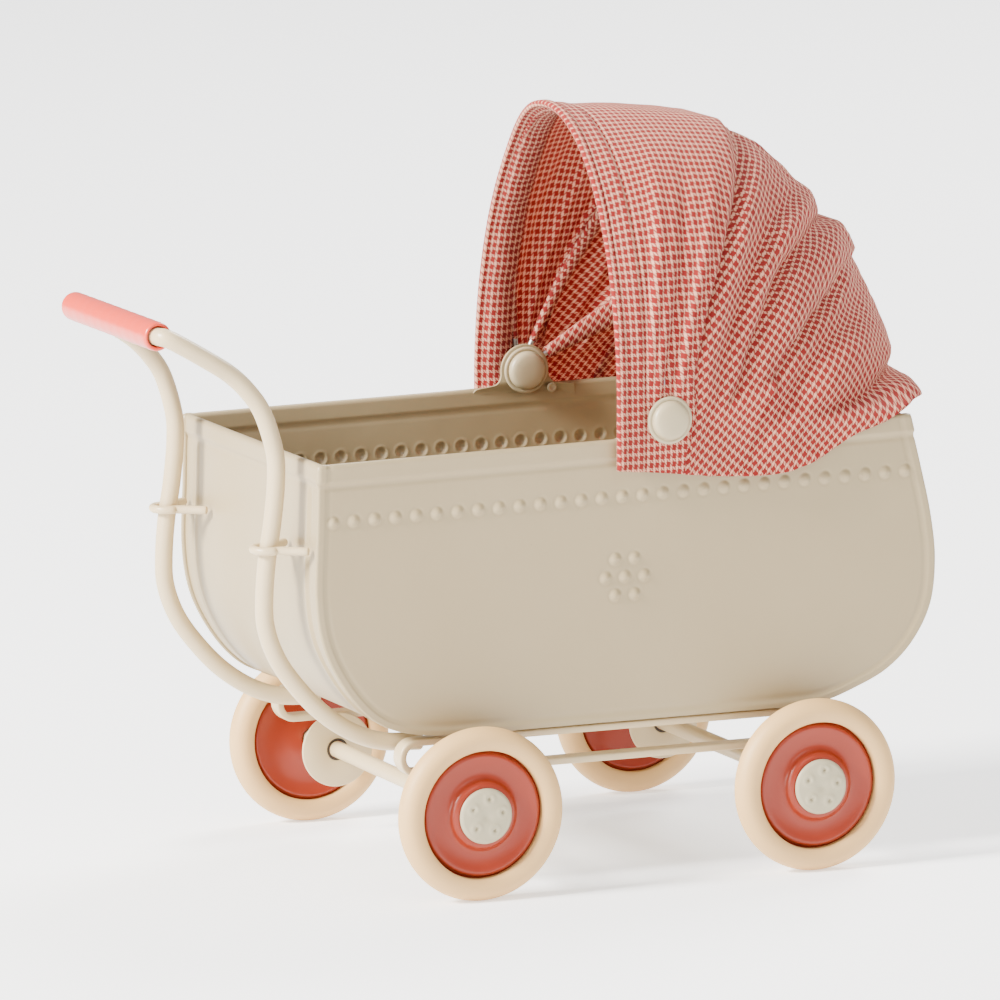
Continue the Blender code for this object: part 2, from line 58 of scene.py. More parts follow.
def through(points, steps):
    """A smooth line through the points, with that many steps between each two."""
    p = np.array(points, float)
    p = np.vstack([2 * p[0] - p[1], p, 2 * p[-1] - p[-2]])
    t = (np.arange(steps) / steps)[:, None]
    line = []
    for a, b, c, d in zip(p, p[1:], p[2:], p[3:]):
        second, third = 2 * a - 5 * b + 4 * c - d, 3 * b - a - 3 * c + d
        line.append(b + 0.5 * ((c - a) * t + second * t**2 + third * t**3))
    return np.vstack([*line, p[-2]])


def lengths(line):
    """How far along the line each of its points lies."""
    return np.concatenate([[0], np.cumsum(np.linalg.norm(np.diff(line, axis=0), axis=1))])


def unit(vectors):
    return vectors / np.linalg.norm(vectors, axis=-1)[..., None]


def evenly(line, count):
    """The line with evenly spaced points."""
    walked = lengths(line)
    at = np.linspace(0, walked[-1], count)
    return np.stack([np.interp(at, walked, line[:, k]) for k in range(line.shape[1])], axis=1)


def smoothstep(low, high, x):
    t = np.clip((x - low) / (high - low), 0, 1)
    return t * t * (3 - 2 * t)


def hump(x, centre, width):
    return np.exp(-(((x - centre) / width) ** 2))


def waves(x, y, seed, scale, octaves=3):
    """Smooth unevenness between about -1 and 1."""
    rng = np.random.default_rng(seed)
    total = np.zeros(np.shape(x))
    for k in range(octaves):
        for _ in range(4):
            angle, phase = rng.uniform(0, 2 * math.pi, 2)
            f = 2 * math.pi * 2**k * rng.uniform(0.7, 1.3) / scale
            total = total + np.sin(f * (x * math.cos(angle) + y * math.sin(angle)) + phase) / 2**k
    return total / 4


def turn_outwards(data, merge=None):
    """Turns a mesh's faces outwards, once any points closer than the merge distance are made one."""
    shape = bmesh.new()
    shape.from_mesh(data)
    if merge:
        bmesh.ops.remove_doubles(shape, verts=shape.verts, dist=merge)
        bmesh.ops.dissolve_degenerate(shape, edges=shape.edges, dist=1e-8)
    bmesh.ops.recalc_face_normals(shape, faces=shape.faces)
    shape.to_mesh(data)
    shape.free()


def finish_object(name, data, look):
    data.shade_smooth()
    data.materials.append(look)
    made = bpy.data.objects.new(name, data)
    bpy.context.scene.collection.objects.link(made)
    return made


def mesh_object(name, points, faces, look, uv=None):
    """A smooth mesh from points in millimetres; its faces are turned outwards when it has no uv map."""
    data = bpy.data.meshes.new(name)
    data.from_pydata([tuple(p) for p in (np.asarray(points, float) + (CENTRE_X / MM, 0, 0)) * MM], [], faces)
    if uv is not None:
        layer = data.uv_layers.new(name="UVMap")
        corner = np.zeros(len(data.loops), np.int32)
        data.loops.foreach_get("vertex_index", corner)
        layer.data.foreach_set("uv", np.asarray(uv, np.float32)[corner].ravel())
    if uv is None:
        turn_outwards(data)
    return finish_object(name, data, look)


def quads(rows, columns, loop_rows=False, loop_columns=False, first=0):
    """Faces over a grid of points numbered row by row."""
    i = np.arange(rows if loop_rows else rows - 1)
    j = np.arange(columns if loop_columns else columns - 1)
    i, j = np.meshgrid(i, j, indexing="ij")
    a = i * columns + j
    b = i * columns + (j + 1) % columns
    c = (i + 1) % rows * columns + (j + 1) % columns
    d = (i + 1) % rows * columns + j
    return [tuple(int(v) for v in f) for f in (np.stack([a, b, c, d], axis=-1).reshape(-1, 4) + first)]


def thick_grid(name, outer, inner, look, edge_steps=5):
    """A closed sheet between two matching grids, with a rounded edge all round."""
    n, m = outer.shape[:2]
    index = np.arange(n * m).reshape(n, m)
    ring = np.concatenate([index[0, :-1], index[:-1, -1], index[-1, :0:-1], index[:0:-1, 0]])
    i, j = np.divmod(ring, m)
    within = np.clip(i, 1, n - 2) * m + np.clip(j, 1, m - 2)
    o, q = outer.reshape(-1, 3), inner.reshape(-1, 3)
    out = unit(o[ring] - o[within])
    half = (o[ring] - q[ring]) / 2
    out = unit(out - half * ((out * half).sum(1) / (half * half).sum(1))[:, None])
    size = np.linalg.norm(half, axis=1)[:, None]
    points = [o, q]
    for k in range(1, edge_steps):
        a = math.pi * k / edge_steps
        points.append(o[ring] - half + half * math.cos(a) + out * size * math.sin(a))
    faces = quads(n, m) + [f[::-1] for f in quads(n, m, first=n * m)]
    rings = [ring] + [2 * n * m + len(ring) * k + np.arange(len(ring)) for k in range(edge_steps - 1)]
    rings.append(ring + n * m)
    for a, b in zip(rings, rings[1:]):
        for k in range(len(ring)):
            after = (k + 1) % len(ring)
            faces.append((int(a[k]), int(b[k]), int(b[after]), int(a[after])))
    return mesh_object(name, np.vstack(points), faces, look)


def revolve(name, profile, look, centre, outward=1, steps=128, closed=False, change=None):
    """A turned solid. Its profile is (radius, distance outward), from its outer face to its inner one."""
    p = np.array(profile, float)
    rows = []
    for k in range(steps):
        a = 2 * math.pi * k / steps
        rows.append(np.stack([p[:, 0] * math.cos(a), p[:, 1], p[:, 0] * math.sin(a)], axis=1))
    grid = np.array(rows)
    if change is not None:
        grid = change(grid)
    grid = grid * (1, outward, 1) + np.array(centre)
    flat = grid.reshape(-1, 3)
    faces = quads(steps, len(p), loop_rows=True, loop_columns=closed)
    made = mesh_object(name, flat, faces, look)
    turn_outwards(made.data, merge=2e-7)
    made.data.shade_smooth()
    return made


def sweep(name, line, radius, look, sides=20, closed=False, section=None, up=None):
    """A wire or bar along a line. Its ends are rounded."""
    p = np.array(line, float)
    along = np.roll(p, -1, 0) - np.roll(p, 1, 0)
    if not closed:
        along[0], along[-1] = p[1] - p[0], p[-1] - p[-2]
    along = unit(along)
    side = np.cross(along[0], up if up is not None else (0.123, 0.456, 0.789))
    sides_of = []
    for t in along:
        side = unit(side - t * (side @ t) if up is None else np.cross(t, up))
        sides_of.append(side)
    side = np.array(sides_of)
    other = np.cross(along, side)
    if section is None:
        a = np.linspace(0, 2 * math.pi, sides, endpoint=False)
        section = np.stack([np.cos(a), np.sin(a)], axis=1) * radius
    if not closed:
        steps = np.linspace(0, math.pi / 2, 5)[1:]
        head = [p[0] - along[0] * radius * 0.5 * math.sin(s) for s in steps[::-1]]
        tail = [p[-1] + along[-1] * radius * 0.5 * math.sin(s) for s in steps]
        shrink = [max(math.cos(s), 0.02) for s in steps]
        p = np.vstack([head, p, tail])
        scale = np.concatenate([shrink[::-1], np.ones(len(line)), shrink])
        pad = len(steps)
        side = np.vstack([[side[0]] * pad, side, [side[-1]] * pad])
        other = np.vstack([[other[0]] * pad, other, [other[-1]] * pad])
    else:
        scale = np.ones(len(p))
    points = (
        p[:, None]
        + side[:, None] * (section[None, :, :1] * scale[:, None, None])
        + other[:, None] * (section[None, :, 1:] * scale[:, None, None])
    )
    n, m = points.shape[:2]
    faces = quads(n, m, loop_rows=closed, loop_columns=True)
    if not closed:
        faces += [tuple(range(m))[::-1], tuple(range((n - 1) * m, n * m))]
    return mesh_object(name, points.reshape(-1, 3), faces, look)


def plate(name, outlines, low_y, high_y, look, bevel=0.08):
    """A flat upright sheet with slightly rounded edges. The first outline is its edge, the rest are holes."""
    curve = bpy.data.curves.new(name, "CURVE")
    curve.dimensions = "2D"
    curve.fill_mode = "BOTH"
    curve.extrude = ((high_y - low_y) / 2 - bevel) * MM
    curve.bevel_depth = bevel * MM
    curve.bevel_resolution = 2
    curve.offset = -bevel * MM
    for outline in outlines:
        spline = curve.splines.new("POLY")
        spline.points.add(len(outline) - 1)
        for made, (x, z) in zip(spline.points, outline):
            made.co = (x * MM + CENTRE_X, z * MM, 0, 1)
        spline.use_cyclic_u = True
    helper = bpy.data.objects.new(name + "_outline", curve)
    data = bpy.data.meshes.new_from_object(helper)
    bpy.data.objects.remove(helper)
    upright = Matrix.Rotation(math.pi / 2, 4, "X")
    data.transform(Matrix.Translation((0, (low_y + high_y) / 2 * MM, 0)) @ upright)
    turn_outwards(data, merge=1e-7)
    data.materials.clear()
    made = finish_object(name, data, look)
    data.set_sharp_from_angle(angle=math.radians(30))
    return made


def arc(centre, radius, count, first=0.0, last=360.0):
    """Points on an arc in the XZ plane, angles in degrees from +X towards +Z."""
    whole = abs(last - first) >= 360
    a = np.radians(np.linspace(first, last, count, endpoint=not whole))
    return [(centre[0] + radius * math.cos(t), centre[1] + radius * math.sin(t)) for t in a]


def put(obj, body, nodes=()):
    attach(obj, body)
    if nodes:
        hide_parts(*([nodes] if isinstance(nodes, str) else nodes))
    return obj


# ---- finishes ----


def nodes_of(name):
    look = bpy.data.materials.new(name)
    look.use_nodes = True
    tree = look.node_tree
    return look, tree, tree.nodes["Principled BSDF"]


def add(tree, kind, **values):
    node = tree.nodes.new(kind)
    for key, value in values.items():
        if key.startswith("in_"):
            k = key[3:]
            node.inputs[int(k) if k.isdigit() else k].default_value = value
        else:
            setattr(node, key, value)
    return node


def maths(tree, operation, a, b=None, c=None, clamp=False):
    node = add(tree, "ShaderNodeMath", operation=operation, use_clamp=clamp)
    for socket, value in zip(node.inputs, (a, b, c)):
        if value is None:
            continue
        if isinstance(value, (int, float)):
            socket.default_value = value
        else:
            tree.links.new(value, socket)
    return node.outputs[0]


def mix(tree, factor, a, b):
    node = add(tree, "ShaderNodeMix", data_type="RGBA")
    for socket, value in ((node.inputs[0], factor), (node.inputs[6], a), (node.inputs[7], b)):
        if isinstance(value, tuple):
            socket.default_value = (*value, 1.0)
        elif isinstance(value, (int, float)):
            socket.default_value = value
        else:
            tree.links.new(value, socket)
    return node.outputs[2]


def noise(tree, scale, detail=3.0, roughness=0.5, stretch=None):
    place = add(tree, "ShaderNodeTexCoord").outputs["Object"]
    if stretch:
        mapping = add(tree, "ShaderNodeMapping")
        mapping.inputs["Scale"].default_value = stretch
        tree.links.new(place, mapping.inputs["Vector"])
        place = mapping.outputs[0]
    made = add(tree, "ShaderNodeTexNoise", in_Scale=scale, in_Detail=detail, in_Roughness=roughness)
    tree.links.new(place, made.inputs["Vector"])
    return made.outputs[0]


def bump(tree, shader, height, strength, distance):
    node = add(tree, "ShaderNodeBump", in_Strength=strength, in_Distance=distance)
    tree.links.new(height, node.inputs["Height"])
    tree.links.new(node.outputs[0], shader.inputs["Normal"])


def enamel(name, colour, shade, roughness, peel, coat=0.0, mottle=0.5, worn=0.0, shine=0.5):
    """Painted metal: a soft mottle between two near colours, slightly uneven, with dark chips where worn."""
    look, tree, shader = nodes_of(name)
    patches = noise(tree, 55.0, 4.0, 0.55)
    fine = noise(tree, 900.0, 2.0)
    spread = maths(tree, "MULTIPLY_ADD", maths(tree, "SUBTRACT", patches, 0.5), 1.6, 0.5, clamp=True)
    paint = mix(tree, maths(tree, "MULTIPLY", spread, mottle), colour, shade)
    if worn:
        specks = maths(tree, "MULTIPLY_ADD", noise(tree, 620.0, 3.0, 0.6), 14.0, -14.0 * 0.73, clamp=True)
        places = maths(tree, "MULTIPLY_ADD", noise(tree, 38.0, 2.0), 8.0, -8.0 * 0.53, clamp=True)
        chips = maths(tree, "MULTIPLY", maths(tree, "MULTIPLY", specks, places), worn)
        paint = mix(tree, chips, paint, (0.16, 0.12, 0.08))
    tree.links.new(paint, shader.inputs["Base Color"])
    low, high = roughness
    tree.links.new(maths(tree, "MULTIPLY_ADD", patches, high - low, low), shader.inputs["Roughness"])
    height = maths(tree, "ADD", noise(tree, 420.0, 2.0), maths(tree, "MULTIPLY", fine, 0.4))
    bump(tree, shader, height, peel, 0.00008)
    shader.inputs["Coat Weight"].default_value = coat
    shader.inputs["Coat Roughness"].default_value = 0.12
    shader.inputs["Specular IOR Level"].default_value = shine
    return look


def linear(r, g, b):
    return tuple((c / 255 / 12.92) if c <= 10 else ((c / 255 + 0.055) / 1.055) ** 2.4 for c in (r, g, b))


TIN = enamel("cream_tin", linear(157, 140, 106), linear(151, 133, 98), (0.36, 0.5), 0.16, worn=0.8)
WIRE = enamel("cream_wire", linear(196, 176, 138), linear(188, 166, 126), (0.3, 0.42), 0.14, worn=0.8)
BUTTON = enamel("cream_button", linear(174, 159, 126), linear(168, 152, 118), (0.34, 0.44), 0.1)
TYRE = enamel("cream_tyre", linear(206, 166, 108), linear(198, 156, 98), (0.45, 0.6), 0.22)
CORAL = enamel("coral_tin", linear(138, 44, 22), linear(124, 37, 18), (0.26, 0.36), 0.1, coat=0.06, shine=0.3)
CAP = enamel("cap_cream", linear(168, 158, 130), linear(160, 150, 120), (0.34, 0.46), 0.14, worn=0.6)
GRIP = enamel("pink_grip", linear(208, 62, 40), linear(198, 55, 35), (0.28, 0.38), 0.1, coat=0.12)

STEEL, tree, shader = nodes_of("steel")
patches = noise(tree, 300.0, 3.0, 0.5, (1.0, 1.0, 6.0))
tree.links.new(mix(tree, patches, (0.56, 0.55, 0.53), (0.42, 0.41, 0.39)), shader.inputs["Base Color"])
tree.links.new(maths(tree, "MULTIPLY_ADD", patches, 0.25, 0.25), shader.inputs["Roughness"])
shader.inputs["Metallic"].default_value = 1.0
bump(tree, shader, noise(tree, 1500.0, 2.0), 0.1, 0.00003)


# painted shade: a near-black finish for the rings in the axle holes, standing in for the shadow in the gap
# round each axle
HOLE_SHADE = enamel("painted_hole_shade", (0.03, 0.022, 0.016), (0.05, 0.035, 0.025), (0.4, 0.6), 0.1)


def check_cloth(name, red, pale):
    """Woven check: dark and light bands cross in a twill, so the half-dark squares are striped aslant."""
    look, tree, shader = nodes_of(name)
    place = add(tree, "ShaderNodeUVMap", uv_map="UVMap").outputs[0]
    split = add(tree, "ShaderNodeSeparateXYZ")
    wobble = add(tree, "ShaderNodeTexNoise", in_Scale=0.1, in_Detail=1.0)
    tree.links.new(place, wobble.inputs["Vector"])
    shift = add(tree, "ShaderNodeVectorMath", operation="MULTIPLY_ADD")
    tree.links.new(wobble.outputs["Color"], shift.inputs[0])
    shift.inputs[1].default_value = (0.35, 0.35, 0.0)
    tree.links.new(place, shift.inputs[2])
    tree.links.new(shift.outputs[0], split.inputs[0])
    u, v = split.outputs[0], split.outputs[1]
    warp = maths(tree, "LESS_THAN", maths(tree, "FRACT", u), 0.64)
    weft = maths(tree, "LESS_THAN", maths(tree, "FRACT", v), 0.64)
    aslant = maths(tree, "FRACT", maths(tree, "MULTIPLY", maths(tree, "ADD", u, v), 2.0))
    over = maths(tree, "LESS_THAN", aslant, 0.5)
    under = maths(tree, "SUBTRACT", 1.0, over)
    dark = maths(tree, "ADD", maths(tree, "MULTIPLY", over, warp), maths(tree, "MULTIPLY", under, weft))
    even = maths(tree, "MULTIPLY", maths(tree, "ADD", warp, weft), 0.14)
    dark = maths(tree, "MULTIPLY_ADD", dark, 0.72, even)
    threads = add(tree, "ShaderNodeTexNoise", in_Scale=9.0, in_Detail=3.0)
    tree.links.new(place, threads.inputs["Vector"])

    def varied(colour, low, high):
        darker = tuple(c * low for c in colour)
        lighter = tuple(min(1, c * high) for c in colour)
        return mix(tree, threads.outputs[0], darker, lighter)

    check = mix(tree, dark, varied(pale, 0.92, 1.05), varied(red, 0.82, 1.25))
    tree.links.new(check, shader.inputs["Base Color"])
    shader.inputs["Roughness"].default_value = 0.85
    shader.inputs["Sheen Weight"].default_value = 0.1
    shader.inputs["Sheen Roughness"].default_value = 0.4
    shader.inputs["Specular IOR Level"].default_value = 0.25
    yarn_u = maths(tree, "SINE", maths(tree, "MULTIPLY", u, 2 * math.pi * 8))
    yarn_v = maths(tree, "SINE", maths(tree, "MULTIPLY", v, 2 * math.pi * 8))
    weave = maths(tree, "ADD", maths(tree, "MULTIPLY", over, yarn_u), maths(tree, "MULTIPLY", under, yarn_v))
    height = maths(tree, "MULTIPLY_ADD", threads.outputs[0], 1.2, weave)
    bump(tree, shader, height, 0.5, 0.00004)
    through_light = add(tree, "ShaderNodeBsdfTranslucent")
    tree.links.new(check, through_light.inputs["Color"])
    both = add(tree, "ShaderNodeMixShader", in_0=0.42)
    tree.links.new(shader.outputs[0], both.inputs[1])
    tree.links.new(through_light.outputs[0], both.inputs[2])
    tree.links.new(both.outputs[0], tree.nodes["Material Output"].inputs["Surface"])
    return look


CLOTH = check_cloth("check_fabric", linear(156, 43, 41), linear(255, 194, 162))


# ---- tub ----

TUB_OUTLINE = [
    (-55.3, 72.4), (-55.6, 62.0), (-55.9, 51.0), (-54.6, 42.8), (-51.1, 35.8), (-46.6, 30.6), (-41.9, 28.0),
    (-36.0, 26.8), (-27.0, 26.5), (-9.0, 26.5), (9.0, 26.5), (27.0, 26.5), (34.6, 26.9), (41.2, 29.0),
    (46.8, 31.7), (51.4, 36.0), (54.6, 42.0), (55.5, 49.4), (54.7, 57.0), (52.8, 65.5), (50.7, 73.8),
]
RIM_Z, RIM_RISE = 73.2, 0.0145
TUB_HALF_W = 29.7
TIN_T = 0.6
outline = through(TUB_OUTLINE, 14)
BOTTOM_Z = 26.5


def rim_z(x):
    return RIM_Z + RIM_RISE * x


def hem_height(below, proud):
    """The rolled hem along a rim: proud, with a soft lower edge and a groove under it."""
    return proud * (1 - smoothstep(2.2, 3.0, below)) - 0.07 * hump(below, 3.4, 0.4)


ROW_START, ROW_END = (-53.1, 63.35), (50.2, 64.95)
FLOWER = (-1.0, 50.7)
DOTS = np.linspace(ROW_START, ROW_END, 29).tolist() + [FLOWER] + arc(FLOWER, 3.5, 6)


def dots_at(x, z):
    height = np.zeros(x.shape)
    for cx, cz in DOTS:
        r = np.hypot(x - cx, z - cz)
        dome = 0.5 * np.clip(1 - (r / 1.04) ** 2, 0, 1) ** 1.2
        height += np.where(r < 2, dome - 0.05 * hump(r, 1.2, 0.22), 0.0)
    return height


# where a side's rows lie, as shares of its height: closer at the bottom and the dots
near_bottom = np.array([0.0, 0.02, 0.06, 0.13, 0.24, 0.4, 0.62, 0.9, 1.2, 1.55])
bands = ((1.9, 18.6, 0.3), (18.7, 30.6, 0.17), (30.8, 34.9, 0.3), (35.0, 40.6, 0.17), (40.8, 46.35, 0.2))
heights = np.concatenate([near_bottom, *(np.arange(*band) for band in bands), [46.4]]) / 46.4
flat = np.where(outline[:, 1] < BOTTOM_Z + 0.02)[0]
handle_side, hood_side = outline[: flat[0] + 1], outline[flat[-1]:]


def side_grid(sign):
    """The side panel as rows across, from the flat bottom to the rim."""
    z_left = BOTTOM_Z + heights * (rim_z(-55.3) - BOTTOM_Z)
    z_right = BOTTOM_Z + heights * (rim_z(50.7) - BOTTOM_Z)
    x_left = np.interp(z_left, handle_side[::-1, 1], handle_side[::-1, 0])
    x_right = np.interp(z_right, hood_side[:, 1], hood_side[:, 0])
    u = np.linspace(0, 1, 600)[None, :]
    x = x_left[:, None] * (1 - u) + x_right[:, None] * u
    z = z_left[:, None] * (1 - u) + z_right[:, None] * u
    below = rim_z(x) - z
    edge = np.full(x.shape, 9.0)
    for px, pz in evenly(outline, 400):
        edge = np.minimum(edge, np.hypot(x - px, z - pz))
    pressed = dots_at(x, z) + 0.07 * waves(x, z, 3 + sign, 60.0) + 0.012 * waves(x, z, 5 + sign, 7.0)
    seam = 0.14 * (1 - smoothstep(0.8, 1.25, edge)) - 0.08 * hump(edge, 1.7, 0.35)
    fade = smoothstep(0.0, 2.0, edge)
    outer_y = TUB_HALF_W + pressed * fade + seam + hem_height(below, 0.4)
    inner_y = TUB_HALF_W - TIN_T + pressed * fade - np.clip(hem_height(below, 0.22), -1, 1)
    outer = np.stack([x, sign * outer_y, z], axis=-1)
    inner = np.stack([x, sign * inner_y, z], axis=-1)
    return outer, inner


for side, sign in SIDES.items():
    outer, inner = side_grid(sign)
    put(thick_grid(f"tub_side_{side}", outer, inner, TIN), "root", f"side_panel_{side}")

line = evenly(outline, 420)
along = unit(np.gradient(line, axis=0))
inward = np.stack([-along[:, 1], along[:, 0]], axis=1)
walked = lengths(line)
from_rim = np.minimum(walked, walked[-1] - walked)[:, None]
across = [np.linspace(-29.0, -21.0, 40), np.linspace(-20.4, 20.4, 60), np.linspace(21.0, 29.0, 40)]
across = np.concatenate(across)[None, :]
bead = 0.22 * hump(np.abs(across), 24.3, 0.55) - 0.16 * hump(np.abs(across), 25.4, 0.5)
bead = bead * smoothstep(3.2, 5.0, from_rim)
uneven = 0.06 * waves(walked[:, None] + 0 * across, across + 0 * walked[:, None], 11, 50.0)


def wrap_grid(depth):
    flat = line[:, None, :] + inward[:, None, :] * depth[:, :, None]
    return np.stack([flat[..., 0], across + 0 * depth, flat[..., 1]], axis=-1)


outer = wrap_grid(0.2 - bead - uneven - hem_height(from_rim, 0.42) + 0 * across)
inner = wrap_grid(0.2 + TIN_T - bead - uneven + np.clip(hem_height(from_rim, 0.2), -1, 1) + 0 * across)
put(thick_grid("tub_ends_and_floor", outer, inner, TIN), "root", "tub_wrap")


# ---- wheels ----

AXLE_X, AXLE_Z, WHEEL_Y = 30.27, 14.5, 36.9
TYRE_PROFILE = through(
    [(10.75, 1.75), (11.3, 2.12), (12.2, 2.3), (13.1, 2.14), (13.85, 1.62), (14.32, 0.86), (14.5, 0.0),
     (14.32, -0.86), (13.85, -1.62), (13.1, -2.14), (12.2, -2.3), (11.3, -2.12), (10.75, -1.75)], 4)
DISC_PROFILE = np.vstack([
    [(1.7, 1.95)],
    through([(4.6, 1.95), (5.1, 1.86), (5.55, 1.5), (5.9, 0.98), (6.35, 0.66), (7.2, 0.58), (8.4, 0.72),
             (9.3, 0.92), (9.75, 0.96), (10.1, 0.78), (10.3, 0.42), (10.42, 0.0), (10.6, -0.15),
             (10.9, -0.15)], 3),
    through([(10.95, -0.5), (10.6, -0.55), (10.4, -0.75), (10.2, -1.12), (9.9, -1.25), (9.3, -1.1),
             (7.6, -0.75), (5.6, -0.8), (3.6, -1.1), (2.0, -1.25)], 3),
    [(1.7, -1.2)],
])


def dimpled(grid):
    """Five small dents round a middle one in the cap's face."""
    x, y, z = grid[..., 0], grid[..., 1], grid[..., 2]
    dent = 0.22 * hump(np.hypot(x, z), 0.0, 0.85)
    for cx, cz in arc((0.1, 0.1), 2.8, 5, 82, 82 + 360)[:5]:
        away = np.hypot(x - cx, z - cz)
        dent = dent + 0.34 * hump(away, 0.0, 0.24) - 0.1 * hump(away, 0.75, 0.4)
    face = y > 2.4
    return np.stack([x, y - dent * face, z], axis=-1)


cap_face = [(r, 2.92 - 0.012 * r * r) for r in np.linspace(0.0001, 4.1, 90)]
CAP_PROFILE = cap_face + [(4.35, 2.62), (4.55, 2.46), (4.64, 2.3), (4.62, 2.18), (4.4, 2.1), (0.0001, 2.1)]
PLATE_PROFILE = [(6.18, 24.12), (6.34, 24.2), (6.4, 24.34), (6.4, 24.46), (6.34, 24.6), (6.18, 24.68)]
PLATE_PROFILE += [(2.05, 24.68), (1.93, 24.6), (1.9, 24.48), (1.9, 24.32), (1.93, 24.2), (2.05, 24.12)]
# a thin ring in each axle hole that carries the painted shade of the shadowed gap round the axle
SHADE_RING_PROFILE = [(1.98, 24.3), (1.98, 24.55), (1.46, 24.5), (1.46, 24.35)]

for end, axle_x in (("rear", -AXLE_X), ("front", AXLE_X)):
    body = f"{end}_wheelset"
    axle_line = np.stack([np.full(40, axle_x), np.linspace(-38.0, 38.0, 40), np.full(40, AXLE_Z)], axis=1)
    put(sweep(f"{end}_axle_rod", axle_line, 1.4, WIRE, 32), body, f"{end}_axle")
    for side, sign in SIDES.items():
        centre = (axle_x, sign * WHEEL_Y, AXLE_Z)
        name = f"{end}_{side}"
        made = revolve(f"{name}_tyre_ring", TYRE_PROFILE, TYRE, centre, sign, 160, closed=True)
        put(made, body, f"{name}_tyre")
        made = revolve(f"{name}_disc", DISC_PROFILE, CORAL, centre, sign, 144, closed=True)
        put(made, body, f"{name}_wheel_disc")
        made = revolve(f"{name}_cap", CAP_PROFILE, CAP, centre, sign, 200, change=dimpled)
        put(made, body, f"{name}_hub_cap")
        made = revolve(f"{name}_plate", PLATE_PROFILE, WIRE, (axle_x, 0, AXLE_Z), sign, 96, closed=True)
        put(made, "root", f"{name}_axle_plate")
        # a near-black ring in the axle hole: painted shade for the shadowed gap round the axle, not a real
        # part
        made = revolve(f"{name}_shade_ring", SHADE_RING_PROFILE, HOLE_SHADE, (axle_x, 0, AXLE_Z), sign, 64, closed=True)
        put(made, "root", ())

# ---- strap springs ----

STRAP_SECTION = []  # 3.2 x 1.2 mm with rounded corners
for x, z, start in ((1.3, 0.3, 0), (-1.3, 0.3, 90), (-1.3, -0.3, 180), (1.3, -0.3, 270)):
    STRAP_SECTION += [(b, a) for a, b in arc((x, z), 0.3, 4, start, start + 90)]
loop = arc((37.7, 22.8), 2.55, 24, -90, 90) + arc((-37.7, 22.8), 2.55, 24, 90, 270)
loop = evenly(np.array(loop + [loop[0]]), 361)[:-1]
for side, sign in SIDES.items():
    points = np.stack([loop[:, 0], np.full(len(loop), sign * 26.6), loop[:, 1]], axis=1)
    section = np.array(STRAP_SECTION)
    made = sweep(f"{side}_strap", points, 1.0, WIRE, closed=True, section=section, up=(0.0, 1.0, 0.0))
    put(made, "root", f"{side}_spring_strap")

# ---- handle ----

HANDLE_ROUTE = [
    (-79.2, 15.0, 94.2), (-79.1, 18.6, 94.2), (-77.7, 20.6, 93.8), (-72.1, 21.4, 90.5), (-67.7, 21.6, 87.6),
    (-64.6, 21.9, 84.5), (-62.2, 22.1, 80.8), (-60.3, 22.3, 74.5), (-60.1, 22.3, 69.5), (-60.8, 22.3, 62.8),
    (-61.8, 22.3, 56.6), (-62.3, 22.3, 50.5), (-62.1, 22.3, 45.7), (-60.4, 22.3, 40.7), (-57.4, 22.3, 36.1),
    (-52.5, 22.3, 30.8), (-47.0, 22.3, 27.0), (-41.5, 22.3, 25.0), (-35.0, 22.3, 24.5),
]
left = through(HANDLE_ROUTE, 8)
right = left * (1, -1, 1)
put(sweep("push_handle", np.vstack([left[::-1], right]), 1.5, WIRE, 28), "root", "handle_wire")
grip_end = [(1.62, 17.9), (1.68, 18.55), (1.85, 18.9), (2.08, 19.0), (2.26, 18.86), (2.36, 18.6), (2.4, 18.2)]
grip_side = [(2.4 + 0.02 * math.sin(y * 1.7), y) for y in np.linspace(17.8, -17.8, 60)]
grip_profile = grip_end + grip_side + [(r, -y) for r, y in grip_end[::-1]]
made = revolve("grip_sleeve", grip_profile, GRIP, (-79.2, 0, 94.2), 1, 72, closed=True)
put(made, "root", "handle_grip")

for side, sign in SIDES.items():
    turned = np.radians(np.linspace(70, 290, 9))
    bend = [(-61.5 + 2.5 * math.cos(a), sign * 22.3 + 2.5 * math.sin(a)) for a in turned]
    flat_line = [(-56.7, sign * 22.3 + 5.0)] + bend + [(-56.7, sign * 22.3 - 5.0)]
    clip = through([(x, y, 58.5) for x, y in flat_line], 6)
    put(sweep(f"clip_{side}", clip, 0.7, WIRE, 18), "root", f"handle_clip_{side}")

# ---- brackets and buttons ----

ear = arc((PIVOT_X, PIVOT_Z), 4.4, 40, -8, 188)
foot = through([(-3.0, 72.6), (-1.6, 71.4), (0.4, 70.9), (14.0, 70.9), (16.0, 71.6)], 3).tolist()
hood_fillet = through([(15.6, 73.7), (13.0, 74.0), (11.6, 74.3), (10.85, 75.1), ear[0]], 5).tolist()
handle_fillet = through(
    [ear[-1], (1.6, 75.1), (0.9, 74.3), (-0.4, 74.0), (-2.4, 73.7), (-3.0, 73.2)], 5
).tolist()
bracket_outline = foot + hood_fillet + ear[1:-1] + handle_fillet


def seat_on_hem(obj, sign):
    """Bends the bracket's foot outwards until it lies in the tub's hem."""
    for v in obj.data.vertices:
        z = v.co.z / MM
        v.co.y += sign * 0.95 * MM * (1 - float(smoothstep(72.6, 74.8, np.array(z))))
    return obj


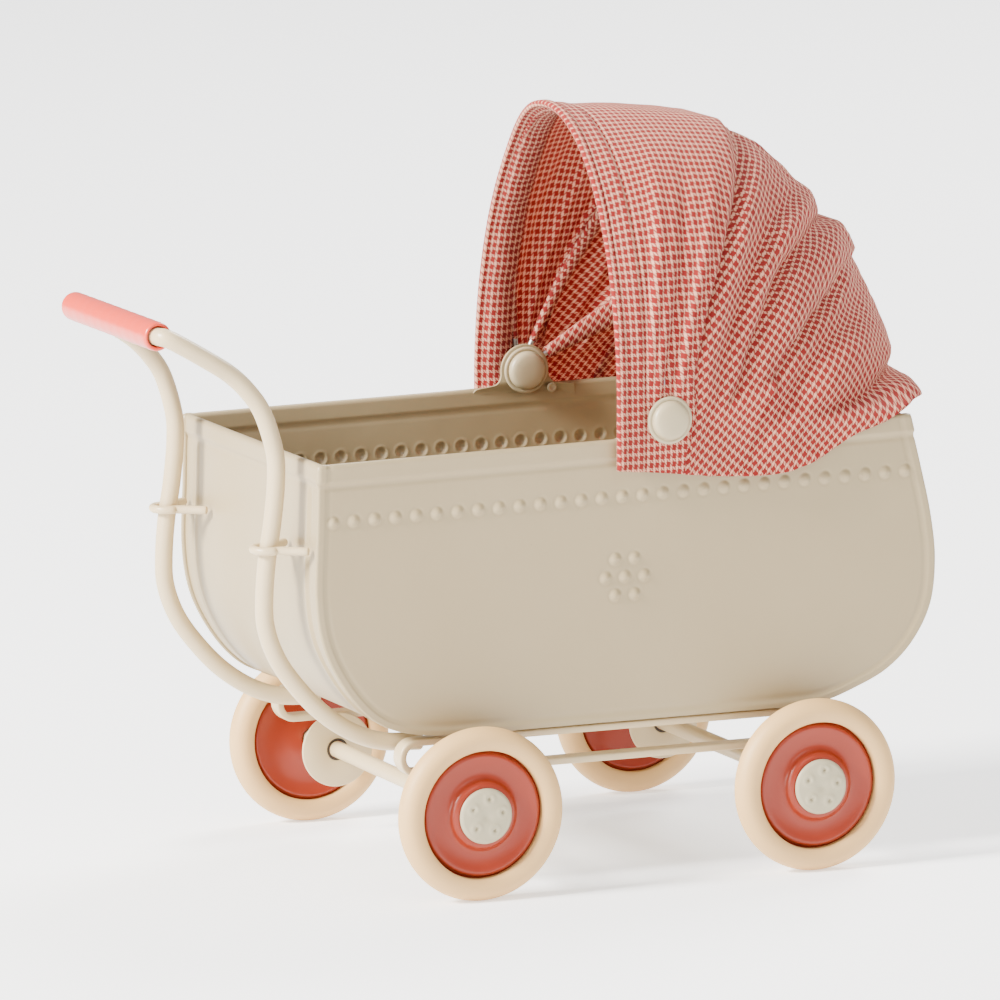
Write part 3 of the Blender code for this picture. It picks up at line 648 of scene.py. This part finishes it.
BUTTON_PROFILE = np.vstack([
    through([(0.0001, 1.74), (1.4, 1.7), (2.4, 1.56), (2.9, 1.34), (3.16, 1.02), (3.26, 0.66),
             (3.28, 0.4)], 4),
    through([(3.36, 0.36), (3.5, 0.44), (3.74, 0.44), (3.92, 0.34), (4.0, 0.2), (3.94, 0.03), (3.7, 0.0)], 3),
    [(0.0001, 0.0)],
])
RIVET_X, RIVET_Z = 11.2, 73.3
RIVET_PROFILE = [(0.0001, 0.3), (0.28, 0.3), (0.42, 0.42), (0.62, 0.5), (0.8, 0.4), (0.86, 0.2), (0.8, 0.0)]
RIVET_PROFILE += [(0.45, 0.0), (0.45, -0.9), (0.0001, -0.9)]
for side, sign in SIDES.items():
    holes = [arc((PIVOT_X, PIVOT_Z), 1.05, 20), arc((RIVET_X, RIVET_Z), 0.55, 16)]
    low, high = sorted((sign * 28.0, sign * 28.5))
    made = seat_on_hem(plate(f"ear_{side}", [bracket_outline] + holes, low, high, TIN, 0.12), sign)
    put(made, "root", f"hood_bracket_{side}")
    made = revolve(f"rivet_{side}", RIVET_PROFILE, BUTTON, (RIVET_X, sign * 28.3, RIVET_Z), -sign, 32)
    put(made, "root", f"bracket_rivet_{side}")
    pin = [(0.0001, 31.3), (0.95, 31.3), (0.95, 28.0), (0.0001, 28.0)]
    made = revolve(f"pin_{side}", pin, STEEL, (PIVOT_X, 0, PIVOT_Z), sign, 32)
    put(made, "root", f"pivot_pin_{side}")
    for place, base, towards in (("outer", 31.6, sign), ("inner", 27.7, -sign)):
        seat = (PIVOT_X, sign * base, PIVOT_Z)
        made = revolve(f"{place}_cap_{side}", BUTTON_PROFILE, BUTTON, seat, towards, 96)
        put(made, "root", f"{place}_button_{side}")

# ---- bows ----

BOW_R = 48.85
BOWS = {"front": (96.6, 31.0), "middle": (64.7, 30.1), "rear": (29.2, 29.2)}  # degrees above level, eyes' y


def about_pivot(degrees, away, y):
    a = np.radians(degrees)
    return np.stack([PIVOT_X + away * np.cos(a), y + 0 * away, PIVOT_Z + away * np.sin(a)], axis=-1)


EYE_PROFILE = [(1.75, 0.2), (1.9, 0.1), (1.9, -0.1), (1.75, -0.2)]
EYE_PROFILE += [(1.15, -0.2), (1.05, -0.1), (1.05, 0.1), (1.15, 0.2)]
for name, (degrees, eye_y) in BOWS.items():
    a = np.linspace(0.03, math.pi - 0.03, 121)
    made = sweep(f"{name}_wire", about_pivot(degrees, BOW_R * np.sin(a), eye_y * np.cos(a)), 0.45, STEEL, 14)
    for side, sign in SIDES.items():
        centre = (PIVOT_X, sign * eye_y, PIVOT_Z)
        eye = revolve(f"{name}_eye_{side}", EYE_PROFILE, STEEL, centre, sign, 40, closed=True)
        put(eye, f"{name}_bow")
    put(made, f"{name}_bow", f"{name}_bow")

# ---- hood ----

CHECK_U, CHECK_V = 1.37, 1.01  # the check's repeat across and along, in mm

a = np.linspace(math.pi / 2, 0, 600)
section_y, section_z = 31.8 * np.cos(a), 50.0 * np.sin(a)
section_length = lengths(np.stack([section_y, section_z], axis=1))


def grain(point, straight, shift=(0.0, 0.0)):
    """Where each point lies in the flat cloth, in checks, if its straight thread runs at that angle."""
    x, y, z = point[..., 0] - PIVOT_X, point[..., 1], point[..., 2] - PIVOT_Z
    a = math.radians(straight)
    up = x * math.cos(a) + z * math.sin(a)
    back = x * math.sin(a) - z * math.cos(a)
    away = np.hypot(up, back)
    by_y = np.interp(np.abs(y), section_y, section_length)
    by_z = np.interp(up, section_z[::-1], section_length[::-1])
    by_z = np.where(up < 0, section_length[-1] - up, by_z)
    side = smoothstep(20.0, 29.0, np.abs(y))
    u = by_y * (1 - side) + by_z * side
    arc_back = away * np.arctan2(back, np.maximum(up, 1e-6))
    v = np.where(up > 0, arc_back * (1 - side) + back * side, back)
    return np.stack([(u * np.sign(y) + shift[0]) / CHECK_U, (v + shift[1]) / CHECK_V], axis=-1)


def cloth(name, points, uv):
    """A sheet of cloth through a grid of points."""
    n, m = points.shape[:2]
    made = mesh_object(name, points.reshape(-1, 3), quads(n, m), CLOTH, uv.reshape(-1, 2))
    centre = Vector((PIVOT_X * MM + CENTRE_X, 0, PIVOT_Z * MM))
    turned_in = sum((f.center - centre).dot(f.normal) * f.area for f in made.data.polygons)
    if turned_in < 0:
        made.data.flip_normals()
    return made


def under_button(point, depth=0.75):
    """Draws the cloth in under the outer buttons."""
    away = np.hypot(point[..., 0] - PIVOT_X, point[..., 2] - PIVOT_Z)
    pull = depth * np.exp(-((away / 4.6) ** 2))
    point = point.copy()
    point[..., 1] -= np.sign(point[..., 1]) * pull
    return point


HEM_X, HEM_Y, HEM_HIGH = -2.9, 31.45, 49.05  # the front hem: place, half width and height over the pivots
FLAP_Z = 68.75
FAR_SET_BACK = 1.7  # how much further back the hem stands on the left side

BELOW = 0.16  # share of each half of a sheet that hangs below the pivots
HALF = np.linspace(0.0, 1.0, 131)


def crease_line(below, turns):
    """One crease or edge, from the hem to the top, as the distance and angle of each column from the pivots.

    It is given as points (x, z) from the pivots below them, and then as (distance, degrees).
    """
    low = evenly(through(below, 10), 60)
    share = np.linspace(0, 1, 60)
    up = np.clip((HALF - BELOW) / (1 - BELOW), 0, 1)
    start = turns[0][0] / 50.0
    a0 = math.asin(start ** (2.2 / 2))
    away = 50.0 * np.sin(a0 + (math.pi / 2 - a0) * up) ** (2 / 2.2)
    smooth = through(turns, 8)
    turn = np.interp(away, smooth[:, 0], smooth[:, 1])
    x = np.interp(HALF / BELOW, share, low[:, 0])
    z = np.interp(HALF / BELOW, share, low[:, 1])
    under = HALF < BELOW
    away = np.where(under, np.hypot(x, z), away)
    turn = np.where(under, np.degrees(np.arctan2(z, x)), turn)
    return away, turn


def shifted(line, by):
    """The line moved sideways towards the hood's front."""
    away, turn = line
    x, z = away * np.cos(np.radians(turn)), away * np.sin(np.radians(turn))
    tx, tz = np.gradient(x), np.gradient(z)
    size = np.maximum(np.hypot(tx, tz), 1e-6)
    flat = smoothstep(0.9, 1.0, HALF)
    nx = -tz / size * (1 - flat) - np.sin(np.radians(turn)) * flat
    nz = tx / size * (1 - flat) + np.cos(np.radians(turn)) * flat
    x, z = x + nx * by, z + nz * by
    return np.hypot(x, z), np.degrees(np.arctan2(z, x))


def both_halves(half, odd=False):
    """Mirrors columns given for the left half onto the right half."""
    return np.concatenate([half, (-half if odd else half)[..., -2::-1]], axis=-1)


# each column's place for the small creases, which differ between the two halves
WALKED = both_halves(HALF) * 45 + np.where(np.arange(2 * len(HALF) - 1) < len(HALF), 0.0, 9.0)


def over(away, turn, width, reach, power):
    """Points over both halves of the hood at those distances and angles, and their outward normals."""
    share = np.clip(away / reach, 0, 1)
    share = np.where(HALF >= 1.0, 1.0, share)
    y = width * (1 - share**power) ** (1 / power)
    x = PIVOT_X + away * np.cos(np.radians(turn))
    z = PIVOT_Z + away * np.sin(np.radians(turn))
    radial = share ** (power - 1) / reach
    sideways = (np.maximum(y, 0) / width) ** (power - 1) / width
    out_x, out_z = radial * np.cos(np.radians(turn)), radial * np.sin(np.radians(turn))
    n = unit(np.stack([out_x, sideways + 0 * turn, out_z], axis=-1))
    points = np.stack([both_halves(x), both_halves(y, True), both_halves(z)], axis=-1)
    normals = np.stack([both_halves(n[..., k], k == 1) for k in range(3)], axis=-1)
    return points, normals


def outward(points):
    """The outward normals of a grid of points over the hood."""
    normal = np.cross(np.gradient(points, axis=0), np.gradient(points, axis=1))
    normal /= np.maximum(np.linalg.norm(normal, axis=-1), 1e-9)[..., None]
    centre = np.array((PIVOT_X, 0, PIVOT_Z - 10))
    return normal * np.sign(((points - centre) * normal).sum())


def away_from_pivots(points, scale):
    """The points moved away from the pivots' axis."""
    scale = np.stack([scale, np.ones_like(scale), scale], axis=-1)
    return (points - (PIVOT_X, 0, PIVOT_Z)) * scale + (PIVOT_X, 0, PIVOT_Z)


CREASE_A = crease_line(
    [(2.7, -9.2), (3.0, -6.0), (3.8, -3.0), (4.4, 0.0)],
    [(4.4, 0.0), (4.9, 20.0), (7.1, 46.0), (11.0, 58.0), (18.6, 64.0), (28.0, 64.6), (40.0, 64.6),
     (50.0, 64.4)],
)
CREASE_B = crease_line(
    [(8.6, -10.1), (9.3, -6.0), (10.4, -2.0), (11.6, 2.4)],
    [(11.85, 11.7), (15.0, 24.0), (19.9, 35.0), (29.4, 43.0), (36.8, 43.6), (45.5, 40.0), (50.0, 36.6)],
)
CREASE_C = crease_line(
    [(14.4, -10.3), (15.0, -6.0), (16.2, -2.4), (18.2, 1.6)],
    [(18.3, 5.0), (22.0, 14.0), (30.0, 24.0), (40.0, 27.2), (50.0, 27.6)],
)


def front_piece():
    """The front gore, from the upright hem with its stitched band to the first deep crease."""
    up = np.clip((HALF - BELOW) / (1 - BELOW), 0, 1) * math.pi / 2
    s, c = both_halves(np.sin(up)), both_halves(np.cos(up), True)
    under = both_halves(np.clip(HALF / BELOW, 0, 1))
    side = np.where(np.arange(len(s)) < len(HALF), 1.0, -1.0)
    c = np.where(under < 1, side, c)
    hem_z = np.where(under < 1, FLAP_Z + (PIVOT_Z - FLAP_Z) * under, PIVOT_Z + HEM_HIGH * s)
    set_back = FAR_SET_BACK * smoothstep(0.1, 0.7, c)
    hem = np.stack([HEM_X + 0.9 * s * (under >= 1) + set_back, HEM_Y * c, hem_z], axis=-1)
    rear, _ = over(*CREASE_A, 31.6, 51.0, 2.12)
    top_scale = 1 + 0.013 * both_halves(smoothstep(0.2, 1.0, HALF))
    rear = away_from_pivots(rear, top_scale)
    span = np.linalg.norm(rear - hem, axis=1)
    near = np.concatenate([np.linspace(0, 4.2, 12), [4.35, 4.45, 4.55, 4.7, 4.9, 5.3]])
    rest = np.linspace(0, 1, 54)[1:]
    rows = [hem + (rear - hem) * (d / span)[:, None] for d in near]
    rows += [hem + (rear - hem) * ((5.3 + (span - 5.3) * t) / span)[:, None] for t in rest]
    points = np.array(rows)
    distance = np.linalg.norm(points - hem[None], axis=-1)
    share = distance / span[None]
    normal = outward(points)
    column = np.linspace(-1, 1, points.shape[1])[None, :]
    height = np.clip((points[..., 2] - PIVOT_Z) / 49.6, -0.2, 1)
    lift = 0.15 * (1 - smoothstep(4.1, 4.8, distance)) - 0.24 * hump(distance, 4.85, 0.4)
    crown = 0.3 * np.sin(np.pi * np.clip(share, 0, 1)) * height**2
    low = 1 - smoothstep(0.45, 0.95, height)
    gathers = 0.5 * np.sin(2 * np.pi * (share * 2.6 + 0.15 * np.sin(3 * column)))
    gathers += 0.2 * np.sin(2 * np.pi * share * 7.3 + 5 * column)
    gathers *= low * smoothstep(4.8, 6.5, distance) * smoothstep(0.02, 0.16, height)
    soft = 0.22 * waves(distance, 40 * column + 0 * distance, 21, 26.0) * smoothstep(1.0, 6.0, distance)
    down = smoothstep(0.93, 1.0, share) * smoothstep(0.05, 0.3, height)
    bulge = 1.1 * np.sin(np.pi * np.clip(share, 0, 1))
    bulge *= smoothstep(0.15, 0.6, height) * (1 - smoothstep(0.8, 1.0, height))
    points = points + normal * (bulge + lift + crown + gathers + soft)[..., None]
    points = points - normal * (1.5 * down)[..., None]
    return under_button(points, 0.3), distance


points, distance = front_piece()
uv = grain(points, 90.0)
uv[..., 1] = distance / CHECK_V + 0.28
front_cloth = cloth("hood_front_cloth", points, uv)

FOLD_DEPTH = (  # row, and how far it lies off the smooth shape at the sides and over the top
    (0.00, -2.2, -2.6), (0.06, -2.1, -2.3), (0.12, -1.3, -2.0), (0.22, -0.5, -1.7), (0.34, -1.5, -2.2),
    (0.46, -2.1, -2.2), (0.56, -0.9, -1.6), (0.64, -1.6, -2.4), (0.70, -2.6, -3.6), (0.78, -1.1, -0.9),
    (0.87, -0.3, -0.7), (0.94, -0.8, -0.6), (1.00, -2.1, -0.6),
)


SKIRT_Y = 31.1
REAR_BOW_FOLD = 18.0  # degrees


def keep_outside(points, least, folds=0.0):
    """Keeps the cloth's skirt outside the tub, also once it has swung down by that many degrees."""
    wide = np.abs(points[..., 1])
    a = math.radians(folds)
    swung = (points[..., 2] - PIVOT_Z) * math.cos(a) - (points[..., 0] - PIVOT_X) * math.sin(a)
    lowest = PIVOT_Z + np.minimum(points[..., 2] - PIVOT_Z, swung)
    low = 1 - smoothstep(73.9, 76.2 if folds else 77.0, lowest)
    low = low * (1 - smoothstep(51.5, 54.0, points[..., 0]))
    points = points.copy()
    points[..., 1] = np.sign(points[..., 1]) * (wide + low * np.maximum(least - wide, 0))
    return points


def middle_piece():
    """The gore between the middle and rear bows, slack, with its fold rising over the rear bow."""
    rows = np.linspace(0, 1, 91)
    keys = np.array([0.0, 0.68, 1.0])
    lines = [shifted(CREASE_A, 1.5), CREASE_B, CREASE_C]
    flat = [np.stack([w * np.cos(np.radians(t)), w * np.sin(np.radians(t))]) for w, t in lines]
    weights = through([(k, *np.eye(3)[i]) for i, k in enumerate(keys)], 40)
    weight = np.array([[np.interp(r, weights[:, 0], weights[:, 1 + i]) for i in range(3)] for r in rows])
    away = sum(weight[:, i, None] * lines[i][0][None] for i in range(3))
    turn = sum(weight[:, i, None] * lines[i][1][None] for i in range(3))
    x, z = sum(weight[:, i, None, None] * flat[i][None] for i in range(3)).transpose(1, 0, 2)
    straight = (1 - smoothstep(0.6 * BELOW, 1.5 * BELOW, HALF))[None, :]
    px = away * np.cos(np.radians(turn)) * (1 - straight) + x * straight
    pz = away * np.sin(np.radians(turn)) * (1 - straight) + z * straight
    away, turn = np.hypot(px, pz), np.degrees(np.arctan2(pz, px))
    point, normal = over(away, turn, 31.8, 51.0, 2.16)
    scale = 1 + 0.02 * both_halves(smoothstep(0.2, 1.0, HALF))[None, :]
    point = away_from_pivots(point, scale)
    depth_line = through(FOLD_DEPTH, 12)
    at_side, at_top = (np.interp(rows, depth_line[:, 0], depth_line[:, k])[:, None] for k in (1, 2))
    top = smoothstep(0.62, 0.92, HALF)[None, :]
    depth = at_side + (at_top - at_side) * top
    size = np.hypot(px, pz)
    near_bow = (1 - smoothstep(0.05, 0.16, rows))[:, None]
    strength = 0.25 + 0.75 * smoothstep(5.0, 22.0, size)
    depth = depth * strength - 0.35 * near_bow * (1 - smoothstep(8.0, 20.0, size))
    down, along = np.meshgrid(rows, WALKED, indexing="ij")
    small = 0.32 * waves(down * 22, along, 31, 14.0) + 0.13 * waves(down * 26, along * 1.4, 32, 5.0)
    small = small * both_halves(smoothstep(0.0, 0.25, HALF))[None, :]
    point = point + normal * (both_halves(depth) + small)[..., None]
    return under_button(keep_outside(keep_outside(point, SKIRT_Y), SKIRT_Y, REAR_BOW_FOLD))


points = middle_piece()
middle_cloth = cloth("hood_middle_cloth", points, grain(points, 50.0))

HEM_LINE = [
    (7.0, 67.7), (8.9, 67.5), (13.7, 66.7), (23.0, 66.3), (28.3, 66.7), (34.2, 68.6),
    (39.8, 71.6), (45.8, 73.6), (50.0, 75.3), (53.0, 76.0), (57.0, 75.4), (63.0, 75.2),
]


def rear_piece():
    """The back of the hood, from the crease behind the rear bow down to a loose, flared hem."""
    rows = np.linspace(0, 1, 95)[:, None]
    start_away, start_turn = shifted(CREASE_C, 1.8)
    start_away = start_away * (1 + 0.009 * smoothstep(0.3, 0.9, HALF))
    spread = 0.04 + 0.96 * np.linspace(0, 1, len(HALF)) ** 1.15
    a_low = spread * math.pi / 2
    low_away = 51.0 * np.sin(a_low) ** (2 / 3.6)
    low_away = low_away - (low_away[0] - 13.2) * (1 - smoothstep(0.0, 0.5, HALF))
    hem_x = PIVOT_X + low_away
    hem_xz = through(HEM_LINE, 8)
    hem_z = np.interp(hem_x, hem_xz[:, 0], hem_xz[:, 1])
    hem_turn = np.degrees(np.arctan2(hem_z - PIVOT_Z, hem_x - PIVOT_X))
    hem_away = np.hypot(hem_z - PIVOT_Z, hem_x - PIVOT_X)
    turn = start_turn[None] + (hem_turn - start_turn)[None] * rows
    late = smoothstep(0.1, 1.15, rows)
    high = smoothstep(0.3, 1.0, HALF)[None]
    away = start_away[None] + (hem_away - start_away)[None] * (late * high + rows * (1 - high))
    sx, sz = start_away * np.cos(np.radians(start_turn)), start_away * np.sin(np.radians(start_turn))
    hx, hz = hem_x - PIVOT_X, hem_z - PIVOT_Z
    straight = (1 - smoothstep(0.1, 0.4, HALF))[None]
    x = away * np.cos(np.radians(turn)) * (1 - straight) + (sx + (hx - sx) * rows) * straight
    z = away * np.sin(np.radians(turn)) * (1 - straight) + (sz + (hz - sz) * rows) * straight
    top_share = np.clip(start_away / 50.0, 0, 1)
    top_share[-1] = 1.0
    top_y = 31.7 * (1 - top_share**2.2) ** (1 / 2.2)
    low_share = np.clip(low_away / 51.0, 0, 1)
    low_y = 32.3 * (1 - low_share**3.6) ** (1 / 3.6)
    y = top_y[None] + (low_y - top_y)[None] * late
    points = np.stack([both_halves(PIVOT_X + x), both_halves(y, True), both_halves(PIVOT_Z + z)], axis=-1)
    normal = outward(points)
    place = both_halves(HALF)[None]
    corner = both_halves(hump(low_away, 46.5, 7.0))[None]
    flare = (0.5 + 2.3 * corner) * smoothstep(0.78, 1.0, rows) ** 1.3 * smoothstep(0.1, 0.5, place)
    fold = -1.6 * hump(rows, 0.80, 0.06) * (0.25 + corner) * smoothstep(0.1, 0.4, place)
    side = 1 - smoothstep(0.45, 0.7, place)
    deep = 0.45 + 2.05 * side * smoothstep(0.08, 0.35, place)
    crease = -deep * (1 - smoothstep(0.04, 0.13 + 0.07 * side, rows))
    radial = (0.14 + 0.55 * side) * np.sin(2 * np.pi * (rows * 2.1 + 0.5 * place))
    radial *= smoothstep(0.05, 0.3, place) * (1 - smoothstep(0.7, 0.95, rows))
    ripple = 0.45 * np.sin(place * 11.0 + 1.0) * smoothstep(0.6, 1.0, rows) * smoothstep(0.02, 0.2, place)
    down, along = np.meshgrid(rows, WALKED, indexing="ij")
    small = 0.26 * waves(down * 30, along, 41, 13.0) + 0.1 * waves(down * 34, along * 1.3, 42, 5.0)
    lift = flare + fold + crease + radial + ripple + small * smoothstep(0.0, 0.2, place)
    points = points + normal * lift[..., None]
    return under_button(keep_outside(points, 30.75))


points = rear_piece()
rear_cloth = cloth("hood_rear_cloth", points, grain(points, 47.0, (0.5, 0.3)))


def facing():
    """The hood's front hem, turned in round its edge and over the front bow."""
    up = np.concatenate([np.zeros(12), np.linspace(0.0, math.pi, 221), np.full(12, math.pi)])
    drop = np.concatenate([np.linspace(7.9, 0.6, 12), np.zeros(221), np.linspace(0.6, 7.9, 12)])
    s, c = np.sin(up), np.cos(up)
    hem_x = HEM_X + 0.9 * s + FAR_SET_BACK * smoothstep(0.1, 0.7, c)
    hem = np.stack([hem_x, HEM_Y * c, PIVOT_Z + HEM_HIGH * s - drop], axis=-1)
    out = unit(np.stack([0 * s, c / HEM_Y, s / HEM_HIGH], axis=-1))
    path = [(0.9, 0.56), (0.45, 0.56), (0.2, 0.54)]
    turned = np.radians(np.linspace(110, 250, 8))
    path += [(0.1 + 0.3 * math.cos(k), 0.22 + 0.32 * math.sin(k)) for k in turned]
    path += [(0.5, -0.14), (1.1, -0.4), (1.8, -0.85), (2.8, -1.1)]
    path += [(3.8, -1.15), (4.8, -1.0), (5.6, -0.7), (6.1, -0.4)]
    path = evenly(through(path, 6), 46)
    far = lengths(path)
    tuck = 1 + 0.25 * waves(50 * up, drop, 61, 12.0)
    rows = [hem + (x, 0, 0) + out * (h * (tuck if h < -0.5 else 1.0 + 0 * tuck))[:, None] for x, h in path]
    points = np.array(rows)
    across = grain(hem, 90.0)[..., 0][None] + 0 * points[..., 0]
    uv = np.stack([across, (0.9 - far[:, None]) / CHECK_V + 0.28 + 0 * across], axis=-1)
    return cloth("hood_front_facing", points, uv)


def sleeve(bow, half_width, above, below, aslant=None):
    """A flat sleeve of cloth round a bow, from one pivot over to the other, cut straight or aslant."""
    name = f"{bow}_bow_casing"
    degrees, eye_y = BOWS[bow]
    a = np.linspace(0.105, math.pi - 0.105, 181)
    s, c = np.sin(a), np.cos(a)
    middle = about_pivot(degrees, BOW_R * s, eye_y * c)
    t = math.radians(degrees)
    step = np.array((-math.sin(t), 0.0, math.cos(t)))
    out = unit(np.stack([s / BOW_R * math.cos(t), c / eye_y, s / BOW_R * math.sin(t)], axis=-1))
    k = np.linspace(0, 2 * math.pi, 25)
    width = half_width * (0.45 + 0.55 * smoothstep(0.05, 0.4, s))
    width = width * (1 + 0.06 * waves(60 * a, 0 * a, 51, 22.0))
    across = width[None] * np.cos(k)[:, None]
    height = np.where(np.sin(k) > 0, above, -below) * np.abs(np.sin(k)) ** 0.7
    rows = middle[None] + step * across[..., None] + out[None] * height[:, None, None]
    if aslant is None:
        return cloth(name, rows, grain(rows, 90.0))
    along = lengths(middle)[None] + 0 * across
    wide = across * np.sign(np.sin(k + 1e-6))[:, None]
    c, s = math.cos(math.radians(aslant)), math.sin(math.radians(aslant))
    uv = np.stack([(along * c - wide * s) / CHECK_U, (along * s + wide * c) / CHECK_V], axis=-1)
    return cloth(name, rows, uv)


LININGS = (
    (sleeve("front", 1.0, 0.35, 0.62), "front_bow"),
    (sleeve("middle", 1.1, 0.6, 0.62), "middle_bow"),
    (sleeve("rear", 2.2, 0.75, 0.75, aslant=27.0), "rear_bow"),
    (facing(), "front_bow"),
)


def thicken(made, thickness, side):
    """Makes a sheet of cloth solid, with the thickness on its outer side (1) or its inner side (-1)."""
    thick = made.modifiers.new("thickness", "SOLIDIFY")
    thick.thickness = thickness * MM
    thick.offset = side
    bpy.context.view_layer.update()
    evaluated = made.evaluated_get(bpy.context.evaluated_depsgraph_get())
    data = bpy.data.meshes.new_from_object(evaluated)
    made.modifiers.clear()
    made.data = data


def slab(first, second, reach=0.0138):
    """Start and end of the bend between two bows, either side of the plane midway."""
    a = math.radians((first + second) / 2)
    middle = Vector((PIVOT_X * MM + CENTRE_X, 0, PIVOT_Z * MM))
    step = Vector((-math.sin(a), 0, math.cos(a))) * reach
    return middle - step, middle + step


for made, bodies, angles, node, bows, with_pieces, width in (
    (front_cloth, ("middle_bow", "front_bow"), (64.7, 96.6), "hood_front_panel",
     ["front_wire", "middle_wire"], ["hood_front_facing", "front_bow_casing"], 0.0215),
    (middle_cloth, ("rear_bow", "middle_bow"), (29.2, 64.7), "hood_middle_panel",
     ["middle_wire", "rear_wire"], ["middle_bow_casing"], 0.0230),
    (rear_cloth, ("root", "rear_bow"), (-1.4, 29.2), "hood_rear_panel",
     ["rear_wire"], ["rear_bow_casing"], 0.0182),
):
    thicken(made, 0.35, 1.0)
    start, end = slab(*angles)
    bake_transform(made)
    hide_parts(node)


for made, body in LININGS:
    thicken(made, 0.22, -1.0)
    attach(made, body)


# ---- camera, light and floor ----

AZIMUTH, ELEVATION, ROLL, DISTANCE = math.radians(-23.39), math.radians(9.56), math.radians(-0.21), 1.73778
AIM = Vector((-0.01062 + CENTRE_X, 0.0, 0.05964))
level = math.cos(ELEVATION)
back = Vector((math.sin(AZIMUTH) * level, -math.cos(AZIMUTH) * level, math.sin(ELEVATION)))
camera = bpy.data.objects.new("camera", bpy.data.cameras.new("camera"))
camera.data.sensor_width = 36.0
camera.data.lens = 374.13
camera.data.clip_start = 0.1
camera.data.clip_end = 20.0
camera.rotation_mode = "QUATERNION"
camera.location = AIM + back * DISTANCE
camera.rotation_quaternion = (-back).to_track_quat("-Z", "Y") @ Matrix.Rotation(ROLL, 4, "Z").to_quaternion()
bpy.context.scene.collection.objects.link(camera)
bpy.context.scene.camera = camera

floor_mesh = bpy.data.meshes.new("floor")
floor_mesh.from_pydata([(-4, -4, 0), (4, -4, 0), (4, 4, 0), (-4, 4, 0)], [], [(0, 1, 2, 3)])
floor = bpy.data.objects.new("floor", floor_mesh)
look, tree, shader = nodes_of("floor")
shader.inputs["Base Color"].default_value = (0.9, 0.9, 0.9, 1)
shader.inputs["Emission Color"].default_value = (1, 1, 1, 1)
shader.inputs["Emission Strength"].default_value = 0.9
shader.inputs["Roughness"].default_value = 0.9
floor_mesh.materials.append(look)
bpy.context.scene.collection.objects.link(floor)


def lamp(name, place, target, size, power, colour=(1, 1, 1)):
    light = bpy.data.lights.new(name, "AREA")
    light.shape = "RECTANGLE"
    light.size, light.size_y = size
    light.energy = power
    light.color = colour
    made = bpy.data.objects.new(name, light)
    made.location = place
    made.rotation_mode = "QUATERNION"
    made.rotation_quaternion = (Vector(target) - Vector(place)).to_track_quat("-Z", "Y")
    bpy.context.scene.collection.objects.link(made)


lamp("key", (-1.25, -0.12, 0.85), (0, 0, 0.06), (0.35, 0.35), 98.0, (1.0, 0.98, 0.95))
lamp("back", (1.0, 0.75, 1.15), (0.03, 0, 0.08), (0.7, 0.7), 38.0)
lamp("fill", (-0.1, -1.3, 1.0), (0, 0, 0.06), (0.7, 0.7), 7.0)
lamp("front", (-1.35, -0.6, 0.34), (0.01, 0, 0.09), (0.5, 0.5), 11.0, (1.0, 0.98, 0.96))
world = bpy.data.worlds.new("world")
world.use_nodes = True
world.node_tree.nodes["Background"].inputs[0].default_value = (1, 1, 1, 1)
world.node_tree.nodes["Background"].inputs[1].default_value = 0.7
bpy.context.scene.world = world
